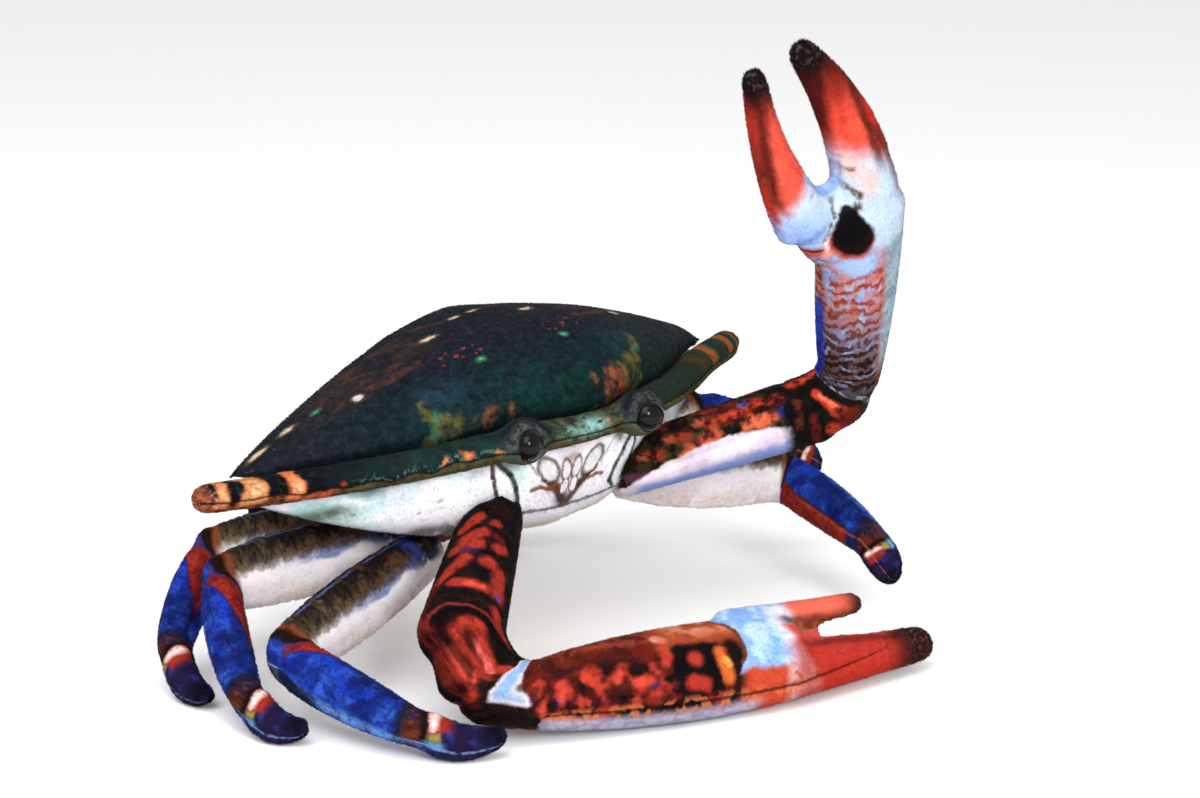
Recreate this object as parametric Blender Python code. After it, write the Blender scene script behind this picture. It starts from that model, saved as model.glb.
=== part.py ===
"""A sewn and stuffed plush blue swimming crab, standing with its left claw raised.

The crab faces -Y, its own left is +X, and the floor is z = 0. The pieces are laid out round the
middle of the shell, then all moved so that the origin is the middle of the whole box, on the
floor. Each stuffed panel that a maker would name is one closed solid. Limbs are chains of tapered
tubes with an oval section, the shell and the belly are lofts of sections set side by side along X,
and the rim is a flattened tube that follows the front edge of the shell from point to point.
"""
import bmesh
import bpy
from math import copysign, cos, exp, pi, radians, sin
from mathutils import Matrix, Vector

MM = 0.001
GAP = 0.3 * MM             # clearance left between two pieces that touch
BOX_MIDDLE = Vector((14.97, -19.7, 0)) * MM   # of the finished crab, from the shell's middle

# Shell: an oval with a point at each side, low in front, domed on top.
SHELL_HALF_WIDTH = 126 * MM
RIM_HALF_WIDTH = 141 * MM
RIM_FRONT = -62 * MM       # middle of the rim tube on the centre line
RIM_SIDE_POWER = 2.1       # how squarely the front edge runs out to the points
RIM_HEIGHT = 105.5 * MM
RIM_DROOP = 9.7 * MM       # the points hang lower than the middle of the rim
RIM_LEAN = 7.2 * MM        # the left point is carried this much above the even line
RIM_WIDTH, RIM_THICK = 17 * MM, 12.5 * MM
BROW_X, BROW_REACH = 12 * MM, 20 * MM    # where the rim sags and thins between the eyes
BROW_SAG, BROW_THIN = 2.6 * MM, 2.2 * MM
BEND_X, BEND_REACH = 100 * MM, 32 * MM   # where the left half of the rim is pushed in
BEND_BACK, BEND_UP = 4.5 * MM, 2.7 * MM
REAR_EDGE = 60 * MM
REAR_SIDE_POWER = 1.0
DOME_RISE = 37 * MM
DOME_FRONT_POWER = 0.9     # how steeply the dome swells from its front edge
DOME_REAR_POWER = 1.45     # and from its rear edge, which is shallower
DOME_SIDE_POWER = 1.45
SHELL_STATIONS = 15
DOME_POINTS = 11
BELLY_DEPTH = 40.5 * MM    # rim to underside on the centre line

BELLY_RECESS = 6 * MM      # how much further its front lies under the rim at the sides

# Eyes: glossy half balls, each seated in a round stuffed collar on the rim.
EYE_X = {"right": -32 * MM, "left": 30 * MM}
EYE_Y = -71.5 * MM
EYE_Z = {"right": 105.2 * MM, "left": 105.6 * MM}
EYE_TURN = {"right": radians(20), "left": radians(-5)}   # towards the crab's left
EYE_RADIUS = 7 * MM
COLLAR_RADIUS = 10.4 * MM
COLLAR_BACK = 7 * MM       # the collar's middle lies this far behind the eye's rim
COLLAR_SHAPE = (1.12, 0.95, 0.97)        # its stretch across, forward and up
# How far ahead of its back, in millimetres, the eye has which share of its radius.
EYE_PROFILE = ((0, 1.0), (1.2, 1.0), (1.6, 0.93), (3.4, 0.8), (4.9, 0.56), (5.7, 0.25))
EYE_SUNK = 2
EYE_SIDES = 16

LIMB_SIDES = 9
ARM_SIDES = 12
CAP_ANGLES = (radians(36), radians(68))   # where the two rings of a rounded end lie

# Width and height of each limb length at its start, middle and end, in millimetres.
LEG_UPPER = ((16, 24), (19, 34), (17, 27))
LEG_LOWER = ((18, 25), (19, 24), (15, 17))
LEG_FOOT = ((15, 18), (15, 17), (10, 10))
FOOT_BOW = 2               # how far the middle of a foot curves out
FOOT_SAG = 3.5             # and down, so that it rests on the ball of the foot
SWIM_UPPER = ((15, 18), (16, 22), (14, 18))
SWIM_PADDLE = ((14, 20), (14, 30), (10, 14))
ARM_UPPER = ((25, 30), (31, 33), (36, 36))
ARM_ELBOW = ((33, 34), (34, 35), (25, 28))
PALM = {"right": ((26, 27), (32, 40), (27, 36.5)), "left": ((26, 27), (32, 36), (27, 40))}
UP = Vector((0, 0, 1))

FUR_COLOURS = {
    "shell": (0.02, 0.07, 0.06, 1), "rim": (0.03, 0.1, 0.08, 1), "belly": (0.85, 0.85, 0.88, 1),
    "eye": (0.004, 0.004, 0.005, 1), "arm": (0.45, 0.05, 0.02, 1), "upper": (0.5, 0.4, 0.35, 1),
    "lower": (0.04, 0.12, 0.6, 1), "foot": (0.05, 0.03, 0.2, 1),
}

# Walking and swimming legs: root, knee, ankle and toe, in millimetres. The right legs stand on
# the floor and sweep forward. The two front left legs are held clear of the floor, and the two
# behind them carry that side.
LEGS = {
    "right_1": ((-40, -14, 49), (-131, -36, 30), (-113, -95, 13), (-87, -116, 9.5)),
    "right_2": ((-40, 4, 51), (-123, 19, 45), (-146, -32, 15), (-136, -55, 7.5)),
    "right_3": ((-38, 21, 52), (-106, 49, 46), (-139, 29, 17), (-141, 2, 6.5)),
    "left_1": ((56, -24, 65), (137, -39, 53), (128, -104, 39), (128, -116, 27)),
    "left_2": ((46, -5, 60), (114, -6, 78), (166, -16, 55), (179, -20, 46)),
    "left_3": ((38, 15, 56), (90, 56, 66), (82, 92, 16), (76, 106, 6.5)),
}
SWIM_LEGS = {
    "right": ((-28, 36, 56), (-56, 58, 48), (-75, 58, 60)),
    "left": ((30, 34, 56), (56, 74, 42), (60, 114, 5)),
}
# Claw arms: shoulder, elbow, wrist, fork, tip of the fixed finger and tip of the moving finger.
ARMS = {
    "right": ((-29, -43, 72), (-81, -83, 38), (-70, -108, 18.5), (41, -142, 18),
              (107, -152, 11), (86.5, -133, 28)),
    "left": ((36, -45, 76), (116, -82, 96), (128, -88, 107), (97, -123.5, 193),
             (54, -131, 260), (37, -122, 250.5)),
}
# The flat of each claw: the right one lies on the floor, the left one faces the front right.
ARM_GIRTH = {"right": 1.0, "left": 0.87}
ELBOW_BOW = {"right": (-4, 3.5, -2.5), "left": (1, -1, 0)}
# Each finger: its sizes, where its root lies along and across the palm from the fork, and how far
# its middle curves out, in millimetres.
FINGERS = {
    ("right", "fixed"): (((23, 26), (19, 21), (14, 16)), (-2, -5.5), 0),
    ("right", "moving"): (((20, 19), (15, 14), (11, 11.5)), (-24, 15), 0),
    ("left", "fixed"): (((24, 30), (20, 24), (12, 13)), (6, -1.5), -5),
    ("left", "moving"): (((24, 28), (18, 17), (11, 11)), (1, 27.5), 3.6),
}
CLAW_ACROSS = {"right": Vector((0.08, 0.64, 0.76)), "left": Vector((-0.82, 0.28, -0.3))}


def mm(point):
    """A point given in millimetres, in metres."""
    return Vector(point) * MM


def clear_scene():
    for item in list(bpy.data.objects):
        bpy.data.objects.remove(item)


def collection(name):
    made = bpy.data.collections.new(name)
    bpy.context.scene.collection.children.link(made)
    return made


def material(key):
    """The plain colour of one kind of piece."""
    name = "plush_" + key
    if name in bpy.data.materials:
        return bpy.data.materials[name]
    made = bpy.data.materials.new(name)
    made.use_nodes = True
    shader = made.node_tree.nodes["Principled BSDF"]
    shader.inputs["Base Color"].default_value = FUR_COLOURS[key]
    shader.inputs["Metallic"].default_value = 0.0
    shader.inputs["Roughness"].default_value = 0.06 if key == "eye" else 0.9
    return made


def skin(rings):
    """A closed mesh over rings with equal numbers of points, its two ends flat."""
    shape = bmesh.new()
    loops = [[shape.verts.new(point) for point in ring] for ring in rings]
    count = len(loops[0])
    for first, second in zip(loops, loops[1:]):
        for i in range(count):
            j = (i + 1) % count
            shape.faces.new((first[i], first[j], second[j], second[i]))
    shape.faces.new(list(reversed(loops[0])))
    shape.faces.new(loops[-1])
    bmesh.ops.recalc_face_normals(shape, faces=shape.faces)
    mesh = bpy.data.meshes.new("skin")
    shape.to_mesh(mesh)
    shape.free()
    return mesh


def oval_ring(centre, along, up, width, height, sides):
    """Points of an oval across a tube: width goes sideways and height goes up."""
    side = along.cross(up).normalized()
    over = side.cross(along).normalized()
    angles = [2 * pi * (i + 0.5) / sides for i in range(sides)]
    return [centre + side * (cos(a) * width / 2) + over * (sin(a) * height / 2) for a in angles]


def tube(path, sizes, up, sides, caps, grow):
    """A stuffed tube along a path of points, with an oval of its own size at each of them.

    caps gives how far each end bulges out, as a share of the size there, and grow makes the
    whole tube larger by that much on every side.
    """
    tangents = []
    for i in range(len(path)):
        after, before = path[min(i + 1, len(path) - 1)], path[max(i - 1, 0)]
        tangents.append((after - before).normalized())
    rings = []
    for i, (point, size) in enumerate(zip(path, sizes)):
        width, height = size[0] + 2 * grow, size[1] + 2 * grow
        rings.append(oval_ring(point, tangents[i], up, width, height, sides))
    for end, sign in ((0, -1), (-1, 1)):
        width, height = sizes[end][0] + 2 * grow, sizes[end][1] + 2 * grow
        bulge = caps[end] * (sizes[end][0] + sizes[end][1]) / 4 + grow
        for angle in CAP_ANGLES:
            centre = path[end] + tangents[end] * (sign * bulge * sin(angle))
            ring = oval_ring(centre, tangents[end], up, width * cos(angle),
                             height * cos(angle), sides)
            rings.insert(0 if sign < 0 else len(rings), ring)
    return skin(rings)


def segment(start, end, sizes, bow=(0, 0, 0), up=UP, sides=LIMB_SIDES, caps=(0.7, 0.7), steps=4,
            grow=0.0):
    """One stuffed length of a limb; its size runs from start through the middle to the end."""
    start, end, bow = mm(start), mm(end), mm(bow)
    path, ovals = [], []
    for i in range(steps + 1):
        t = i / steps
        path.append(start.lerp(end, t) + bow * (4 * t * (1 - t)))
        near, middle, far = (1 - t) * (1 - 2 * t), 4 * t * (1 - t), t * (2 * t - 1)
        ovals.append([MM * (near * a + middle * b + far * c) for a, b, c in zip(*sizes)])
    return tube(path, ovals, up, sides, caps, grow)


def scaled(sizes, share):
    """The sizes of a limb length, all made larger or smaller."""
    return [(width * share, height * share) for width, height in sizes]


def swelling(x, middle, reach):
    """1 at a place across the crab, falling softly to 0 on both sides of it."""
    return exp(-((x - middle) / reach) ** 2)


def rim_height(x):
    across = x / RIM_HALF_WIDTH
    even = RIM_HEIGHT - RIM_DROOP * across ** 2 + RIM_LEAN * across
    return even - BROW_SAG * swelling(x, BROW_X, BROW_REACH) + BEND_UP * swelling(x, BEND_X, BEND_REACH)


def rim_front(x):
    even = RIM_FRONT * (1 - min(1, abs(x) / RIM_HALF_WIDTH) ** RIM_SIDE_POWER)
    return even + BEND_BACK * swelling(x, BEND_X, BEND_REACH)


def rear_edge(x):
    return REAR_EDGE * (1 - (abs(x) / (RIM_HALF_WIDTH + 3 * MM)) ** REAR_SIDE_POWER)


def shell_stations():
    """Places along X, closer together towards the two points."""
    half = SHELL_STATIONS // 2
    places = [SHELL_HALF_WIDTH * sin(pi / 2 * i / half) for i in range(half + 1)]
    return [-x for x in reversed(places[1:])] + places


def dome_mesh(grow):
    """The stuffed top of the shell, flat underneath."""
    rings = []
    for x in shell_stations():
        share = abs(x) / (SHELL_HALF_WIDTH + 5 * MM)
        rise = DOME_RISE * (1 - share ** DOME_SIDE_POWER) + grow
        rise -= BEND_UP * swelling(x, BEND_X, BEND_REACH)
        front, rear = rim_front(x) - grow, rear_edge(x) + grow
        middle, half = (front + rear) / 2, (rear - front) / 2
        floor = rim_height(x) - MM
        ring = []
        for i in range(DOME_POINTS):
            angle = pi * i / (DOME_POINTS - 1)
            out = copysign(abs(cos(angle)) ** 0.85, -cos(angle))
            swell = sin(angle) ** (DOME_FRONT_POWER if out < 0 else DOME_REAR_POWER)
            ring.append(Vector((x, middle + half * out, floor + 2 * MM + rise * swell)))
        ring.append(Vector((x, rear - 0.08 * half, floor - grow)))
        ring.append(Vector((x, front + 0.08 * half, floor - grow)))
        rings.append(ring)
    return skin(rings)


def belly_mesh(grow):
    """The white underside: a boat shape with a sloping face in front and a flat floor."""
    rings = []
    for x in shell_stations():
        share = abs(x) / (SHELL_HALF_WIDTH + 2 * MM)
        top = rim_height(x) - MM - GAP
        depth = BELLY_DEPTH * (1 - share ** 1.9) + 4 * MM
        recess = BELLY_RECESS * share ** 2
        front, rear = rim_front(x) + recess + 2 * MM - grow, rear_edge(x) - 5 * MM + grow
        span = rear - front
        profile = ((0.0, 0.0), (0.02, 0.4), (0.075, 0.8), (0.16, 1.0), (0.5, 1.04), (0.78, 0.98),
                   (0.9, 0.72), (0.97, 0.35), (1.0, 0.0))
        rings.append([Vector((x, front + across * span, top - down * (depth + grow)))
                      for across, down in profile])
    return skin(rings)


def rim_mesh(grow):
    """The flattened tube along the front edge, from the right point to the left one."""
    count = 22
    places = [RIM_HALF_WIDTH * sin(pi / 2 * (2 * i / count - 1)) for i in range(count + 1)]
    path = [Vector((x, rim_front(x), rim_height(x))) for x in places]
    sizes = []
    for x in places:
        share = abs(x) / RIM_HALF_WIDTH
        thick = RIM_THICK - BROW_THIN * swelling(x, BROW_X, BROW_REACH)
        sizes.append((RIM_WIDTH * (1 - 0.18 * share ** 4), thick))
    return tube(path, sizes, UP, ARM_SIDES, (0.9, 0.9), grow)


def collar_mesh(side, grow):
    """The round stuffed seat of one eye."""
    shape = bmesh.new()
    bmesh.ops.create_uvsphere(shape, u_segments=14, v_segments=8, radius=COLLAR_RADIUS + grow)
    bmesh.ops.scale(shape, verts=shape.verts, vec=COLLAR_SHAPE)
    place = Vector((EYE_X[side], EYE_Y + COLLAR_BACK, EYE_Z[side]))
    bmesh.ops.translate(shape, verts=shape.verts, vec=place)
    mesh = bpy.data.meshes.new("collar")
    shape.to_mesh(mesh)
    shape.free()
    return mesh


def eye_mesh(side, grow):
    """A moulded eye: a short rim with a half ball in front of it."""
    facing = Vector((sin(EYE_TURN[side]), -cos(EYE_TURN[side]), 0))
    place = Vector((EYE_X[side], EYE_Y, EYE_Z[side]))
    rings = []
    for ahead, share in EYE_PROFILE:
        size = 2 * (EYE_RADIUS * share + grow)
        centre = place + facing * ((ahead - EYE_SUNK) * MM + (grow if ahead > 0 else -grow))
        rings.append(oval_ring(centre, facing, UP, size, size, EYE_SIDES))
    return skin(rings)


def leg_shapes(name, points):
    """The upper, lower and foot of one walking leg, as name -> function of grow."""
    root, knee, ankle, toe = (Vector(point) for point in points)
    outward = Vector((knee.x, knee.y, 0)).normalized()
    heel = ankle.lerp(toe, 0.12)
    return {
        f"leg_{name}_upper": lambda grow: segment(
            root, knee, LEG_UPPER, caps=(0.5, 0.6), grow=grow),
        f"leg_{name}_lower": lambda grow: segment(
            knee.lerp(ankle, 0.12), ankle, LEG_LOWER, bow=outward * 1.5, caps=(0.6, 0.3),
            grow=grow),
        f"leg_{name}_foot": lambda grow: segment(
            heel, toe, LEG_FOOT, bow=outward * FOOT_BOW - UP * FOOT_SAG, caps=(0.5, 0.7), steps=4,
            grow=grow),
    }


def swim_shapes(name, points):
    """The upper length and the broad paddle of one swimming leg."""
    root, knee, tip = (Vector(point) for point in points)
    return {
        f"swim_{name}_upper": lambda grow: segment(
            root, knee, SWIM_UPPER, caps=(0.5, 0.6), grow=grow),
        f"swim_{name}_paddle": lambda grow: segment(
            knee.lerp(tip, 0.05), tip, SWIM_PADDLE, caps=(0.6, 0.7), grow=grow),
    }


def arm_shapes(name, points):
    """The upper arm, elbow, palm and two fingers of one claw."""
    shoulder, elbow, wrist, fork, fixed_tip, moving_tip = (Vector(point) for point in points)
    girth = ARM_GIRTH[name]
    along = (fork - wrist).normalized()
    across = CLAW_ACROSS[name] - along * CLAW_ACROSS[name].dot(along)
    across.normalize()
    shapes = {
        f"claw_{name}_arm": lambda grow: segment(
            shoulder, elbow, scaled(ARM_UPPER, girth), sides=ARM_SIDES, caps=(0.5, 0.5),
            grow=grow),
        f"claw_{name}_elbow": lambda grow: segment(
            elbow.lerp(wrist, 0.2), wrist, scaled(ARM_ELBOW, girth),
            bow=ELBOW_BOW[name], sides=ARM_SIDES, caps=(0.8, 0.3), steps=3, grow=grow),
        f"claw_{name}_palm": lambda grow: segment(
            wrist, fork, PALM[name], up=across, sides=ARM_SIDES, caps=(0.4, 0.5), steps=6, grow=grow),
    }
    for finger, tip in (("fixed", fixed_tip), ("moving", moving_tip)):
        sizes, (ahead, beside), bow = FINGERS[name, finger]
        root = fork + along * ahead + across * beside
        shapes[f"claw_{name}_{finger}_finger"] = (
            lambda grow, root=root, tip=tip, sizes=sizes, bow=bow: segment(
                root, tip, sizes, bow=across * bow, up=across, caps=(0.4, 0.8), grow=grow))
    return shapes


def placed(mesh):
    """The mesh moved from the shell's middle to the crab's own origin."""
    mesh.transform(Matrix.Translation(-BOX_MIDDLE))
    return mesh


def add_solid(parts, name, mesh, key):
    mesh.materials.append(material(key))
    mesh.shade_smooth()
    mesh.set_sharp_from_angle(angle=radians(50))
    made = bpy.data.objects.new(name, mesh)
    parts.objects.link(made)
    return made


def add_cutter(cutters, name, mesh):
    made = bpy.data.objects.new(name, mesh)
    made.hide_render = True
    made.display_type = 'WIRE'
    cutters.objects.link(made)
    return made


def floor_cutter(cutters):
    """A wide slab with its top at z = 0, which flattens the undersides that touch the floor."""
    shape = bmesh.new()
    bmesh.ops.create_cube(shape, size=1.0)
    bmesh.ops.scale(shape, verts=shape.verts, vec=(1.0, 1.0, 0.1))
    bmesh.ops.translate(shape, verts=shape.verts, vec=(0, 0, -0.05))
    mesh = bpy.data.meshes.new("floor")
    shape.to_mesh(mesh)
    shape.free()
    return add_cutter(cutters, "cut_floor", mesh)


def cut(solid, cutter):
    step = solid.modifiers.new(cutter.name, 'BOOLEAN')
    step.operation = 'DIFFERENCE'
    step.solver = 'EXACT'
    step.object = cutter


def boxes_meet(first, second):
    """Whether the boxes round two meshes overlap, with the clearance added."""
    for axis in range(3):
        low = [min(vertex.co[axis] for vertex in mesh.vertices) for mesh in (first, second)]
        high = [max(vertex.co[axis] for vertex in mesh.vertices) for mesh in (first, second)]
        if low[0] > high[1] or low[1] > high[0]:
            return False
    return True


def all_shapes():
    """Every piece as name -> (shape as a function of grow, colour), those that stay whole first."""
    shapes = {}
    for side in EYE_X:
        shapes[f"eye_{side}"] = (lambda grow, side=side: eye_mesh(side, grow), "eye")
        shapes[f"eye_collar_{side}"] = (lambda grow, side=side: collar_mesh(side, grow), "rim")
    shapes["rim"] = (rim_mesh, "rim")
    shapes["shell"] = (dome_mesh, "shell")
    shapes["belly"] = (belly_mesh, "belly")
    for name, points in ARMS.items():
        shapes.update({piece: (made, "arm") for piece, made in arm_shapes(name, points).items()})
    for makers, limbs in ((leg_shapes, LEGS), (swim_shapes, SWIM_LEGS)):
        for name, points in limbs.items():
            made = makers(name, points)
            kinds = ("upper", "lower", "foot")[:len(made)]
            shapes.update({piece: (made[piece], kind) for piece, kind in zip(made, kinds)})
    return shapes


def build():
    """Makes the pieces in turn, each cut back from the earlier ones that it touches."""
    clear_scene()
    parts = collection("plush_swimming_crab")
    cutters = collection("cutters")
    floor = floor_cutter(cutters)
    made = []
    for name, (shape, colour) in all_shapes().items():
        solid = add_solid(parts, name, placed(shape(0.0)), colour)
        for cutter in made:
            if boxes_meet(solid.data, cutter.data):
                cut(solid, cutter)
        if min(vertex.co.z for vertex in solid.data.vertices) < 0:
            cut(solid, floor)
        made.append(add_cutter(cutters, "cut_" + name, placed(shape(GAP))))


build()
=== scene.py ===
# %% [markdown]
# # A stuffed plush swimming crab
#
# The real thing is a sewn toy: printed velour, a fabric with a short dense pile, is cut into
# panels, sewn inside out, turned and filled with fibre. Two glossy plastic eyes are fixed in
# round stuffed seats on the front roll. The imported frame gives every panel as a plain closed
# solid. This script turns each of them into puffed fabric with seams, folds, print and pile.

# %% Load the frame
import math

import bmesh
import bpy
import numpy as np
from mathutils import Matrix, Vector


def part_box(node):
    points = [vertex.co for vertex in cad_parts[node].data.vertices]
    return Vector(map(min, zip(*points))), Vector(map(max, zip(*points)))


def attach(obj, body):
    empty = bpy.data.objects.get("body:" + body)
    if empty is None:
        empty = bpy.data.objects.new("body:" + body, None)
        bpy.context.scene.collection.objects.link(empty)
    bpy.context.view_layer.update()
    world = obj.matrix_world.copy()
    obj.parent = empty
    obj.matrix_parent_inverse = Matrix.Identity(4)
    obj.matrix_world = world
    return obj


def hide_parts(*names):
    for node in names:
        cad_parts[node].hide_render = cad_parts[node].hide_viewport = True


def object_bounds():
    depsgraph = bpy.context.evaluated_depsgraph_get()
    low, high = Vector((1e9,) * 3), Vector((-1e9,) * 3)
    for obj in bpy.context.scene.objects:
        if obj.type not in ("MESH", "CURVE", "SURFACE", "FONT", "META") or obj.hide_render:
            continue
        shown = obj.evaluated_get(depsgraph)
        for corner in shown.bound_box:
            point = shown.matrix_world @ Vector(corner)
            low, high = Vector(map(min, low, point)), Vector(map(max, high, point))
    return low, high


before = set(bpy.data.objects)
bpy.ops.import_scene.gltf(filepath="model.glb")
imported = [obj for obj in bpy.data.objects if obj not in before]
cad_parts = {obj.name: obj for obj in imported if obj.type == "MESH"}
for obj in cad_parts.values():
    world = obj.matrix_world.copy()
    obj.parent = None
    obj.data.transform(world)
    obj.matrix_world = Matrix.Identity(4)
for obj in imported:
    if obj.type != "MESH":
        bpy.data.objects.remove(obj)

MM = 0.001
CAD_BOX = [list(corner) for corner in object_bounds()]
SCENE = bpy.context.scene
print("frame box, mm:", [[round(v / MM, 1) for v in corner] for corner in CAD_BOX])

# %% [markdown]
# ## Where the body is
#
# Prints are placed in millimetres from the middle of the shell, so the first thing to find is
# that point. The shell's box gives it: the middle of its width, and a fixed step in from its
# rear edge.

# %% Find the middle of the shell
SHELL_REAR = 60 * MM       # the rear edge lies this far behind the shell's middle
shell_low, shell_high = (Vector(corner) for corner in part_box("shell"))
MIDDLE = Vector(((shell_low.x + shell_high.x) / 2, shell_high.y - SHELL_REAR, 0))
print("shell middle, mm:", [round(v / MM, 1) for v in MIDDLE])


def node_points(node):
    """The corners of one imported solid, as rows of x, y and z."""
    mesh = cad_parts[node].data
    flat = np.empty(len(mesh.vertices) * 3)
    mesh.vertices.foreach_get("co", flat)
    return flat.reshape(-1, 3)


# %% [markdown]
# ## Straightening a limb
#
# A limb is bent, but its cloth was printed flat. If every point of the fabric knows how far
# along the limb it is, and how far to the side and up from the limb's middle line, then bands,
# spots and seams can be drawn as if the limb were straight. A UV unwrap could do this too, but
# it would have a cut. A vector attribute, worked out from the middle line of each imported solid,
# has none, and both the print and the pile can read it.

# %% Find the middle line of a limb and store the straightened place
PLACE = "print_place"      # the attribute: along, sideways and up, in millimetres
NAP = "nap"                # the attribute: the way the pile lies


def axis_ends(node, toward=None):
    """The two ends of a long solid, the one nearer to toward first."""
    points = node_points(node)
    centre = points.mean(axis=0)
    _, vectors = np.linalg.eigh(np.cov((points - centre).T))
    along = (points - centre) @ vectors[:, 2]
    ends = [Vector(centre + vectors[:, 2] * along.min()), Vector(centre + vectors[:, 2] * along.max())]
    if toward is not None and (ends[0] - toward).length > (ends[1] - toward).length:
        ends.reverse()
    return ends


def flattened(vector, along):
    """The part of a vector that is square to another, at unit length."""
    return (vector - along * vector.dot(along)).normalized()


class Stretch:
    """One straight length of a limb: its ends, its directions and its printed length."""

    def __init__(self, start, end, up, flip, first, last):
        self.start, self.length = start, (end - start).length
        self.along = (end - start).normalized()
        self.up = flattened(up, self.along)
        self.side = self.along.cross(self.up) * flip
        self.first, self.last = first, last

    def spot(self, along, side, up):
        """The point with these printed millimetres along, to the side and up."""
        share = (along - self.first) / (self.last - self.first)
        return self.start + self.along * share * self.length + (self.side * side + self.up * up) * MM


def straighten(points, stretches):
    """Along, side and up in millimetres for each point, and the direction along the limb."""
    total = np.zeros(len(points))
    place, nap = np.zeros((len(points), 3)), np.zeros((len(points), 3))
    for number, one in enumerate(stretches):
        off = points - np.array(one.start)
        share = off @ np.array(one.along) / one.length
        low = -np.inf if number == 0 else 0.0
        high = np.inf if number == len(stretches) - 1 else 1.0
        held = np.clip(share, low, high)
        gap = np.linalg.norm(off - np.outer(held * one.length, one.along), axis=1)
        weight = 1 / (gap + 0.5 * MM) ** 6
        square = off - np.outer(share * one.length, one.along)
        soft = np.where((share < low) | (share > high), held, share)
        along = one.first + soft * (one.last - one.first)
        row = np.stack([along, square @ np.array(one.side) / MM, square @ np.array(one.up) / MM], 1)
        place += row * weight[:, None]
        nap += np.outer(weight, one.along)
        total += weight
    return place / total[:, None], nap / total[:, None]


def store(mesh, name, rows):
    """Writes a vector attribute with one row per point."""
    made = mesh.attributes.get(name) or mesh.attributes.new(name, 'FLOAT_VECTOR', 'POINT')
    made.data.foreach_set("vector", np.asarray(rows, dtype=np.float32).ravel())


def mesh_points(mesh):
    flat = np.empty(len(mesh.vertices) * 3)
    mesh.vertices.foreach_get("co", flat)
    return flat.reshape(-1, 3)


def mesh_normals(mesh):
    flat = np.empty(len(mesh.vertices) * 3)
    mesh.vertex_normals.foreach_get("vector", flat)
    return flat.reshape(-1, 3)


def move_points(mesh, points):
    mesh.vertices.foreach_set("co", np.asarray(points, dtype=np.float32).ravel())
    mesh.update()


# %% [markdown]
# ## One skin from several solids
#
# Sewn lengths of a limb share one tube of fabric, so their solids have to become one skin.
# Boolean unions of close faces are fragile. Here each copied solid is merged, swollen by half a
# millimetre so that it reaches its neighbour, and all of them are remeshed together as voxels,
# which fuses them and gives even quads that cloth can bend. A few smoothing passes round the
# joints off.

# %% Gather solids into one even skin
SWELL = 0.5 * MM


def gather(name, nodes, voxel, smooth=6, inset=0.0, close=0.0, stuffing=()):
    """A new object with one closed, even skin over copies of the named solids.

    close swells the solids further before they are fused and draws the skin back afterwards,
    which fills the sharp corners where they meet, as stuffing does. stuffing lists extra
    rounded lumps, each with two ends and a radius, for a hollow that filling rounds out.
    """
    joined = bmesh.new()
    for node in nodes:
        copy = bmesh.new()
        copy.from_mesh(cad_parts[node].data)
        bmesh.ops.remove_doubles(copy, verts=copy.verts, dist=0.01 * MM)
        bmesh.ops.recalc_face_normals(copy, faces=copy.faces)
        copy.normal_update()
        for vertex in copy.verts:
            vertex.co += vertex.normal * (SWELL - inset + close)
        single = bpy.data.meshes.new("single")
        copy.to_mesh(single)
        copy.free()
        joined.from_mesh(single)
        bpy.data.meshes.remove(single)
    for start, end, radius in stuffing:
        run = end - start
        turn = run.to_track_quat('Z', 'Y').to_matrix().to_4x4()
        size = Matrix.Diagonal((radius, radius, run.length / 2, 1))
        bmesh.ops.create_icosphere(joined, subdivisions=3, radius=1.0,
                                   matrix=Matrix.Translation((start + end) / 2) @ turn @ size)
    mesh = bpy.data.meshes.new(name)
    joined.to_mesh(mesh)
    joined.free()
    made = bpy.data.objects.new(name, mesh)
    SCENE.collection.objects.link(made)
    remesh = made.modifiers.new("even", 'REMESH')
    remesh.mode = 'VOXEL'
    remesh.voxel_size = voxel
    remesh.use_smooth_shade = True
    if smooth:
        relax = made.modifiers.new("round", 'SMOOTH')
        relax.factor, relax.iterations = 0.5, smooth
    apply_modifiers(made)
    if close:
        move_points(made.data, mesh_points(made.data) - mesh_normals(made.data) * close)
        relax = made.modifiers.new("even_out", 'SMOOTH')
        relax.factor, relax.iterations = 0.5, 3
        apply_modifiers(made)
    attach(made, "root")
    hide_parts(*nodes)
    return made


def apply_modifiers(made):
    """Makes the shape that the modifiers give the object's own mesh."""
    graph = bpy.context.evaluated_depsgraph_get()
    shaped = bpy.data.meshes.new_from_object(made.evaluated_get(graph), depsgraph=graph)
    old = made.data
    made.modifiers.clear()
    made.data = shaped
    shaped.name = made.name
    bpy.data.meshes.remove(old)


SKINS = {}                 # name -> the fabric pieces, in the order they are made
STRETCHES = {}             # name -> the stretches of that limb


# %% [markdown]
# ## The limbs
#
# Each walking leg is an upper length, a lower length and a foot, and each claw arm is an arm, an
# elbow, a palm and two fingers. All six walking legs are printed alike, so their lengths are
# counted on one common scale. On the claws the upward direction runs from the fixed finger to
# the moving one, so that the print can tell the two apart.

# %% Make the limb skins
UP = Vector((0, 0, 1))
LEG_MARKS = (0, 100, 165, 200)      # where root, knee, ankle and toe lie in the leg's print
SWIM_MARKS = (0, 60, 110)
LIMB_VOXEL = 2.1 * MM
LEG_INSET = 0.9 * MM                # room for the filling and the pile
CLAW_CLOSE = {"right": 1.2 * MM, "left": 2.4 * MM}      # how far corners are filled on each claw
LEG_CLOSE = 1.5 * MM                # and at the joints of a leg


def chain(node_ends):
    """Joint places along a limb, from the ends of its solids in order."""
    joints = [node_ends[0][0]]
    for first, second in zip(node_ends, node_ends[1:]):
        joints.append((first[1] + second[0]) / 2)
    joints.append(node_ends[-1][1])
    return joints


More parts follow.
